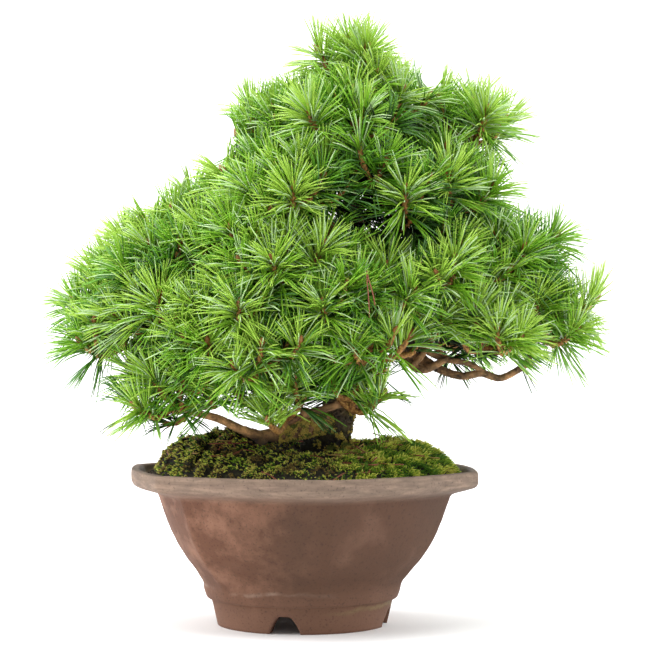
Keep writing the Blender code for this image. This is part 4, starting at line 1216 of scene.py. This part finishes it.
        # Dead needles are dry and dull, thin lines of rust and straw on the green
        for name, colour, chosen in (("rust", "#8a4c38", ~straw), ("straw", "#b8955a", straw)):
            piece = tube_mesh(f"fallen_{name}_needles", place(rings[chosen]))
            dress(piece, plain(f"dry {name} needles", colour, 0.7), "needles")


class BONSAI_OT_limbs(bpy.types.Operator):
    """Trunk and boughs with the relief of their bark"""

    bl_idname = "bonsai.limbs"
    bl_label = "Bark"

    def execute(self, context):
        """Each limb is a ring of its radius carried along its line. The bark's plates lift the ring by a
        field of waves that is stretched along the limb, and cracks cut in where the field passes through
        nothing."""
        settings = context.scene.bonsai_tree
        relief = settings.relief / MM
        bark, young, algae = settings.bark, settings.young_bark, settings.algae
        trunk_finish = pine_bark("old pine bark", darker(bark, 0.8), algae, 132)
        bough_finish = pine_bark("young pine bark", young, algae, 104)
        # Painted light: a paler copy of the young bark, for the low left limb and its stub, as lit
        sunlit_finish = pine_bark("sunlit pine bark", darker(young, 1.3), algae, 100)
        knot_finish = pine_bark("dark knotted bark", darker(bark, 0.55), darker(bark, 0.4), 100)
        piece = self.limb("trunk_bark", *trunk_line(TRUNK_STEPS), 110, relief * 1.9, True)
        dress(piece, trunk_finish, "bark", "trunk")
        for name in BOUGHS:
            centres, radii = limb_line(name, LIMB_STEPS)
            piece = self.limb(name + "_bark", centres, radii, 40 if radii[0] > 5 else 28, relief * 0.9)
            dress(piece, sunlit_finish if name == "bough_left_low" else bough_finish, "bark", name)
        for strand, (route, girth) in enumerate(LIMB_STRANDS):
            centres = smooth_route(route, 14)
            radii = np.interp(np.linspace(0, 1, len(centres)), np.linspace(0, 1, len(girth)), girth)
            piece = self.limb(f"limb_strand_{strand}", centres, radii, 24, relief * 0.8)
            dress(piece, {0: knot_finish, 4: sunlit_finish}.get(strand, bough_finish), "bark")
        return {"FINISHED"}

    def limb(self, name, centres, radii, sides, relief, flared=False):
        """One limb as a closed tube with relief; the trunk's foot spreads into root lobes that fade
        upwards."""
        rings, poles, out = sweep(centres[None], radii[None], sides)
        angle = 2 * math.pi * np.arange(sides) / sides
        if flared:
            rings = rings + out * (radii[:, None] * root_flare(centres[:, 2:], angle))[..., None]
        thick = np.clip(radii / 8, 0.18, 1.3)[None, :, None]
        plates = waves(rings * (1, 1, 0.45), 4.6, 61)
        cracks = np.exp(-((plates / 0.22) ** 2))
        scales = waves(rings, 2.0, 62) * 0.25 + waves(rings, 1.1, 63) * 0.12
        lift = (np.tanh(plates * 1.5) * 0.25 - cracks * 0.55 + scales) * relief * thick
        station = np.arange(len(radii))
        ends = np.clip(np.minimum(station, station[::-1]) / 4, 0, 1)
        rings = rings + out * (lift * ends[None, :, None])[..., None]
        if flared:
            rings[0, 0, :, 2] = centres[0, 2]
            poles[0, 0, 2] = centres[0, 2]
        return tube_mesh(name, place(rings), place(poles))


class BONSAI_OT_foliage(bpy.types.Operator):
    """Stems, twigs, buds and needles of every mass"""

    bl_idname = "bonsai.foliage"
    bl_label = "Foliage"

    def execute(self, context):
        """Stems bend from their limb to the fork, twigs from the fork to their shoot, and needles stand round
        the shoots. Tints are dealt out by shoot as painted shade, by how open it stands, and deeper for the
        older needles at its foot, which are painted as shaded as well."""
        settings = context.scene.bonsai_tree
        shoots = Shoots()
        self.wood(shoots)
        centres, along, owner = needle_fan(shoots, settings)
        low, high = (np.array(corner) for corner in CAD_BOX)
        tips = place(centres[:, -1])
        room = settings.needle_width
        kept = ((tips > low + room) & (tips < high - room)).all(1) & (centres[:, :, 2].min(1) > LOWEST_NEEDLE)
        kept &= ~self.over_limbs(centres) & ~in_notches(centres[:, 1:]).any(1)
        centres, along, owner = centres[kept], along[kept], owner[kept]
        half = settings.needle_width / MM / 2
        rng = np.random.default_rng(71)
        radii = np.array((0.8, 1.0, 0.95, 0.4)) * half * rng.uniform(0.85, 1.1, (len(centres), 1))
        rings, _, _ = sweep(centres, radii, 3)
        # Painted shade: each shoot's tint by how open it stands, deeper towards its foot, where the needles
        # are also older
        tone = self.tones(shoots)[owner] + (1 - along) * 2.0 - 0.45 + rng.normal(0, 0.38, len(owner))
        greens = len(NEEDLE_TINTS) - PALE_TINTS
        tint = np.clip(np.round(tone), 0, greens - 1).astype(int)
        pale = rng.random(len(along)) < PALE_SHARE
        # The pale undersides take mint where the tone paints them as lit, and glaucous where it paints them as
        # shaded
        tint[pale & (tone < 1.6)] = greens
        tint[pale & (tone >= 1.6) & (tone < 3.6)] = greens + 1
        # A needle's waxy skin is half glossy with a weak reflection, so that each keeps one soft bright edge
        for number, (name, colour, roughness) in enumerate(NEEDLE_TINTS):
            finish = plain(f"{name} pine needles", colour, roughness, Specular_IOR_Level=0.35)
            for kind, fine, stations in (("long", False, (0, 1, 2, 3)), ("short", True, (0, 2, 3))):
                chosen = np.flatnonzero((tint == number) & ((shoots.level[owner] > 0) == fine))
                for part in range(0, len(chosen), NEEDLES_A_PIECE):
                    rows = rings[chosen[part : part + NEEDLES_A_PIECE]][:, stations]
                    piece = tube_mesh(f"needles_{name}_{kind}_{part // NEEDLES_A_PIECE}", place(rows))
                    dress(piece, finish, "needles", *MASSES)
        return {"FINISHED"}

    def over_limbs(self, centres):
        """Which needles would hang before the bare stretches of the low limbs, where the old ones are
        plucked."""
        covers = np.zeros(len(centres), bool)
        for name, left, right, room in BARE_STRETCHES:
            line = bough_line(name, 8)[0]
            line = line[(line[:, 0] > left) & (line[:, 0] < right)]
            for point in line[::2]:
                near = np.hypot(centres[:, 2:, 0] - point[0], centres[:, 2:, 2] - point[2]) < room
                covers |= (near & (centres[:, 2:, 1] < point[1] + 8)).any(1)
        return covers

    def tones(self, shoots):
        """How deep each shoot's green is, as painted shade: 0 is young and in the open. Each shoot that stands
        before it on its two clearest sides makes it deeper, and each above it a little."""
        rng = np.random.default_rng(72)
        middle = shoots.foot + shoots.way * shoots.length[:, None] / 2
        apart = middle[None] - middle[:, None]
        blocked = []
        for side in OPEN_SIDES:
            way = unit(np.array(side))
            ahead = apart @ way
            off = np.linalg.norm(apart - ahead[..., None] * way, axis=-1)
            blocked.append(((ahead > 8) & (off < 14)).sum(1))
        clearest = np.sort(np.array(blocked), axis=0)[:2].mean(0)
        hollow = np.linalg.norm(middle[:, None] - HOLLOWS[:, :3], axis=-1) / HOLLOWS[:, 3]
        deep = np.choose(shoots.level, (-0.1, 0.7, 2.0)) + 0.9 * clearest + 0.05 * blocked[0]
        # Painted shade in the recesses of the crown, and painted light on its brightest tufts
        deep = deep + (HOLLOWS[:, 4] * np.exp(-(hollow**2))).sum(1)
        return deep + rng.normal(0, 0.75, len(deep))

    def wood(self, shoots):
        """Stems and twigs as arcs: a straight line from foot to tip, pulled towards the tip's own
        direction."""
        stems = np.array([arc(*stem, 9) for stem in shoots.stems])
        radii = np.linspace(1.7, 1.3, 9)[None] * np.ones((len(stems), 1))
        rings, poles, out = sweep(stems, radii, 8)
        rings = rings + out * (waves(rings, 2.2, 64) * 0.12)[..., None]
        # Young bark is thin: brown flakes without cracks on the stems, and tan ones on last year's growth
        piece = tube_mesh("stems", place(rings), place(poles))
        finish = speckled("thin brown bark", ("#3a2414", "#6e4a2c", "#8e6640"), 2.0, 0.85)
        dress(piece, finish, "bark", *MASSES)

        share = np.linspace(-1, 1, 10)
        owner = np.repeat(np.arange(len(shoots.foot)), len(share))
        centres, ways = shoot_path(shoots, owner, np.tile(share, len(shoots.foot)))
        centres = centres.reshape(-1, len(share), 3)
        radii = np.interp(share, (-1, 0, 0.8, 1), (2.1, 2.1, 1.7, 0.9))[None] * np.ones((len(centres), 1))
        radii = radii * np.where(shoots.level == 0, 1.0, 0.78)[:, None]
        rings, poles, out = sweep(centres, radii, 6)
        rings = rings + out * (waves(rings, 1.6, 65) * 0.24)[..., None]
        piece = tube_mesh("shoots", place(rings), place(poles))
        finish = speckled("tan shoot bark", ("#4a2e12", "#8a5e2a", "#b88c48"), 1.6, 0.8)
        dress(piece, finish, "bark", *MASSES)
        self.buds(centres[:, -1], ways.reshape(-1, len(share), 3)[:, -1], shoots)

    def buds(self, tip, way, shoots):
        """A small pointed bud at each shoot's tip: a tube that swells and closes."""
        size = np.where(shoots.level == 0, 1.0, 0.8)[:, None, None]
        t = np.array((-1.0, 0.8, 2.6, 4.4, 5.6))[None, :, None]
        centres = tip[:, None] + way[:, None] * t * size
        radii = np.array((0.9, 2.0, 2.1, 1.2, 0.3))[None] * size[..., 0]
        rings, poles, _ = sweep(centres, radii, 6)
        # Bud scales have a film of resin, which gives the tips a warm glint
        piece = tube_mesh("buds", place(rings), place(poles))
        dress(piece, plain("resinous brown bud scales", "#8e5c28", 0.5), "bark", *MASSES)


class BONSAI_OT_stage(bpy.types.Operator):
    """Camera, pale floor with a curved backdrop, and soft light"""

    bl_idname = "bonsai.stage"
    bl_label = "Stage"

    def execute(self, context):
        """The backdrop is a flat floor that turns up behind the plant along a quarter circle."""
        settings = context.scene.bonsai_stage
        camera = bpy.data.objects.new("camera", bpy.data.cameras.new("camera"))
        context.scene.collection.objects.link(camera)
        camera.location = AXIS + (settings.camera_right, -settings.camera_away, settings.camera_height)
        camera.rotation_euler = (math.radians(90), 0, 0)
        camera.data.lens = settings.lens
        camera.data.sensor_width = 36
        camera.data.clip_end = 50
        context.scene.camera = camera

        bend = np.radians(np.linspace(0, 90, 24))
        radius, back, front, wide, tall = 1.2, 2.0, -4.0, 6.0, 5.0
        run = np.concatenate([[front], back + radius * np.sin(bend), [back + radius]])
        rise = np.concatenate([[0.0], radius * (1 - np.cos(bend)), [tall]])
        edges = [np.stack([side + 0 * run, run, rise], -1) for side in (-wide, wide)]
        points = np.stack(edges, 1).reshape(-1, 3)
        k = 2 * np.arange(len(run) - 1)[:, None]
        floor = make_mesh("floor", points, k + (0, 1, 3, 2))
        # Paper is white and matt, and mirrors nothing of the pot
        floor.data.materials.append(plain("matt white paper", "#fbfbfb", 0.9))

        world = bpy.data.worlds.new("studio")
        world.use_nodes = True
        room = world.node_tree.nodes["Background"].inputs
        room["Color"].default_value = (1, 1, 1, 1)
        room["Strength"].default_value = ROOM_LIGHT
        context.scene.world = world
        context.scene.view_settings.view_transform = "Standard"
        for name, spot, size, power, aim in LIGHTS:
            lamp = bpy.data.lights.new(name, "AREA")
            lamp.size = size
            lamp.energy = power
            held = bpy.data.objects.new(name, lamp)
            context.scene.collection.objects.link(held)
            held.location = spot
            held.rotation_euler = (Vector(aim) - Vector(spot)).to_track_quat("-Z", "Y").to_euler()
        return {"FINISHED"}


SETTINGS = (
    ("bonsai_pot", PotSettings),
    ("bonsai_ground", GroundSettings),
    ("bonsai_tree", TreeSettings),
    ("bonsai_stage", StageSettings),
)
OPERATORS = (
    BONSAI_OT_stage,
    BONSAI_OT_pot,
    BONSAI_OT_soil,
    BONSAI_OT_moss,
    BONSAI_OT_limbs,
    BONSAI_OT_foliage,
)


class BONSAI_PT_panel(bpy.types.Panel):
    """Lists the operators and their settings"""

    bl_label = "Bonsai"
    bl_idname = "BONSAI_PT_panel"
    bl_space_type = "VIEW_3D"
    bl_region_type = "UI"
    bl_category = "Bonsai"

    def draw(self, context):
        """A button for each operator, and a box for each group of settings."""
        for operator in OPERATORS:
            self.layout.operator(operator.bl_idname)
        for name, group in SETTINGS:
            box = self.layout.box()
            for field in group.__annotations__:
                box.prop(getattr(context.scene, name), field)


def register():
    """Registers the settings, the operators and the panel."""
    for name, group in SETTINGS:
        bpy.utils.register_class(group)
        setattr(bpy.types.Scene, name, bpy.props.PointerProperty(type=group))
    for kind in (*OPERATORS, BONSAI_PT_panel):
        bpy.utils.register_class(kind)


def unregister():
    """Takes them out again."""
    for kind in (BONSAI_PT_panel, *reversed(OPERATORS)):
        bpy.utils.unregister_class(kind)
    for name, group in reversed(SETTINGS):
        delattr(bpy.types.Scene, name)
        bpy.utils.unregister_class(group)


def main():
    """Makes the stage and every piece."""
    register()
    bpy.ops.bonsai.stage()
    bpy.ops.bonsai.pot()
    bpy.ops.bonsai.soil()
    bpy.ops.bonsai.moss()
    bpy.ops.bonsai.limbs()
    bpy.ops.bonsai.foliage()


if __name__ == "__main__":
    main()
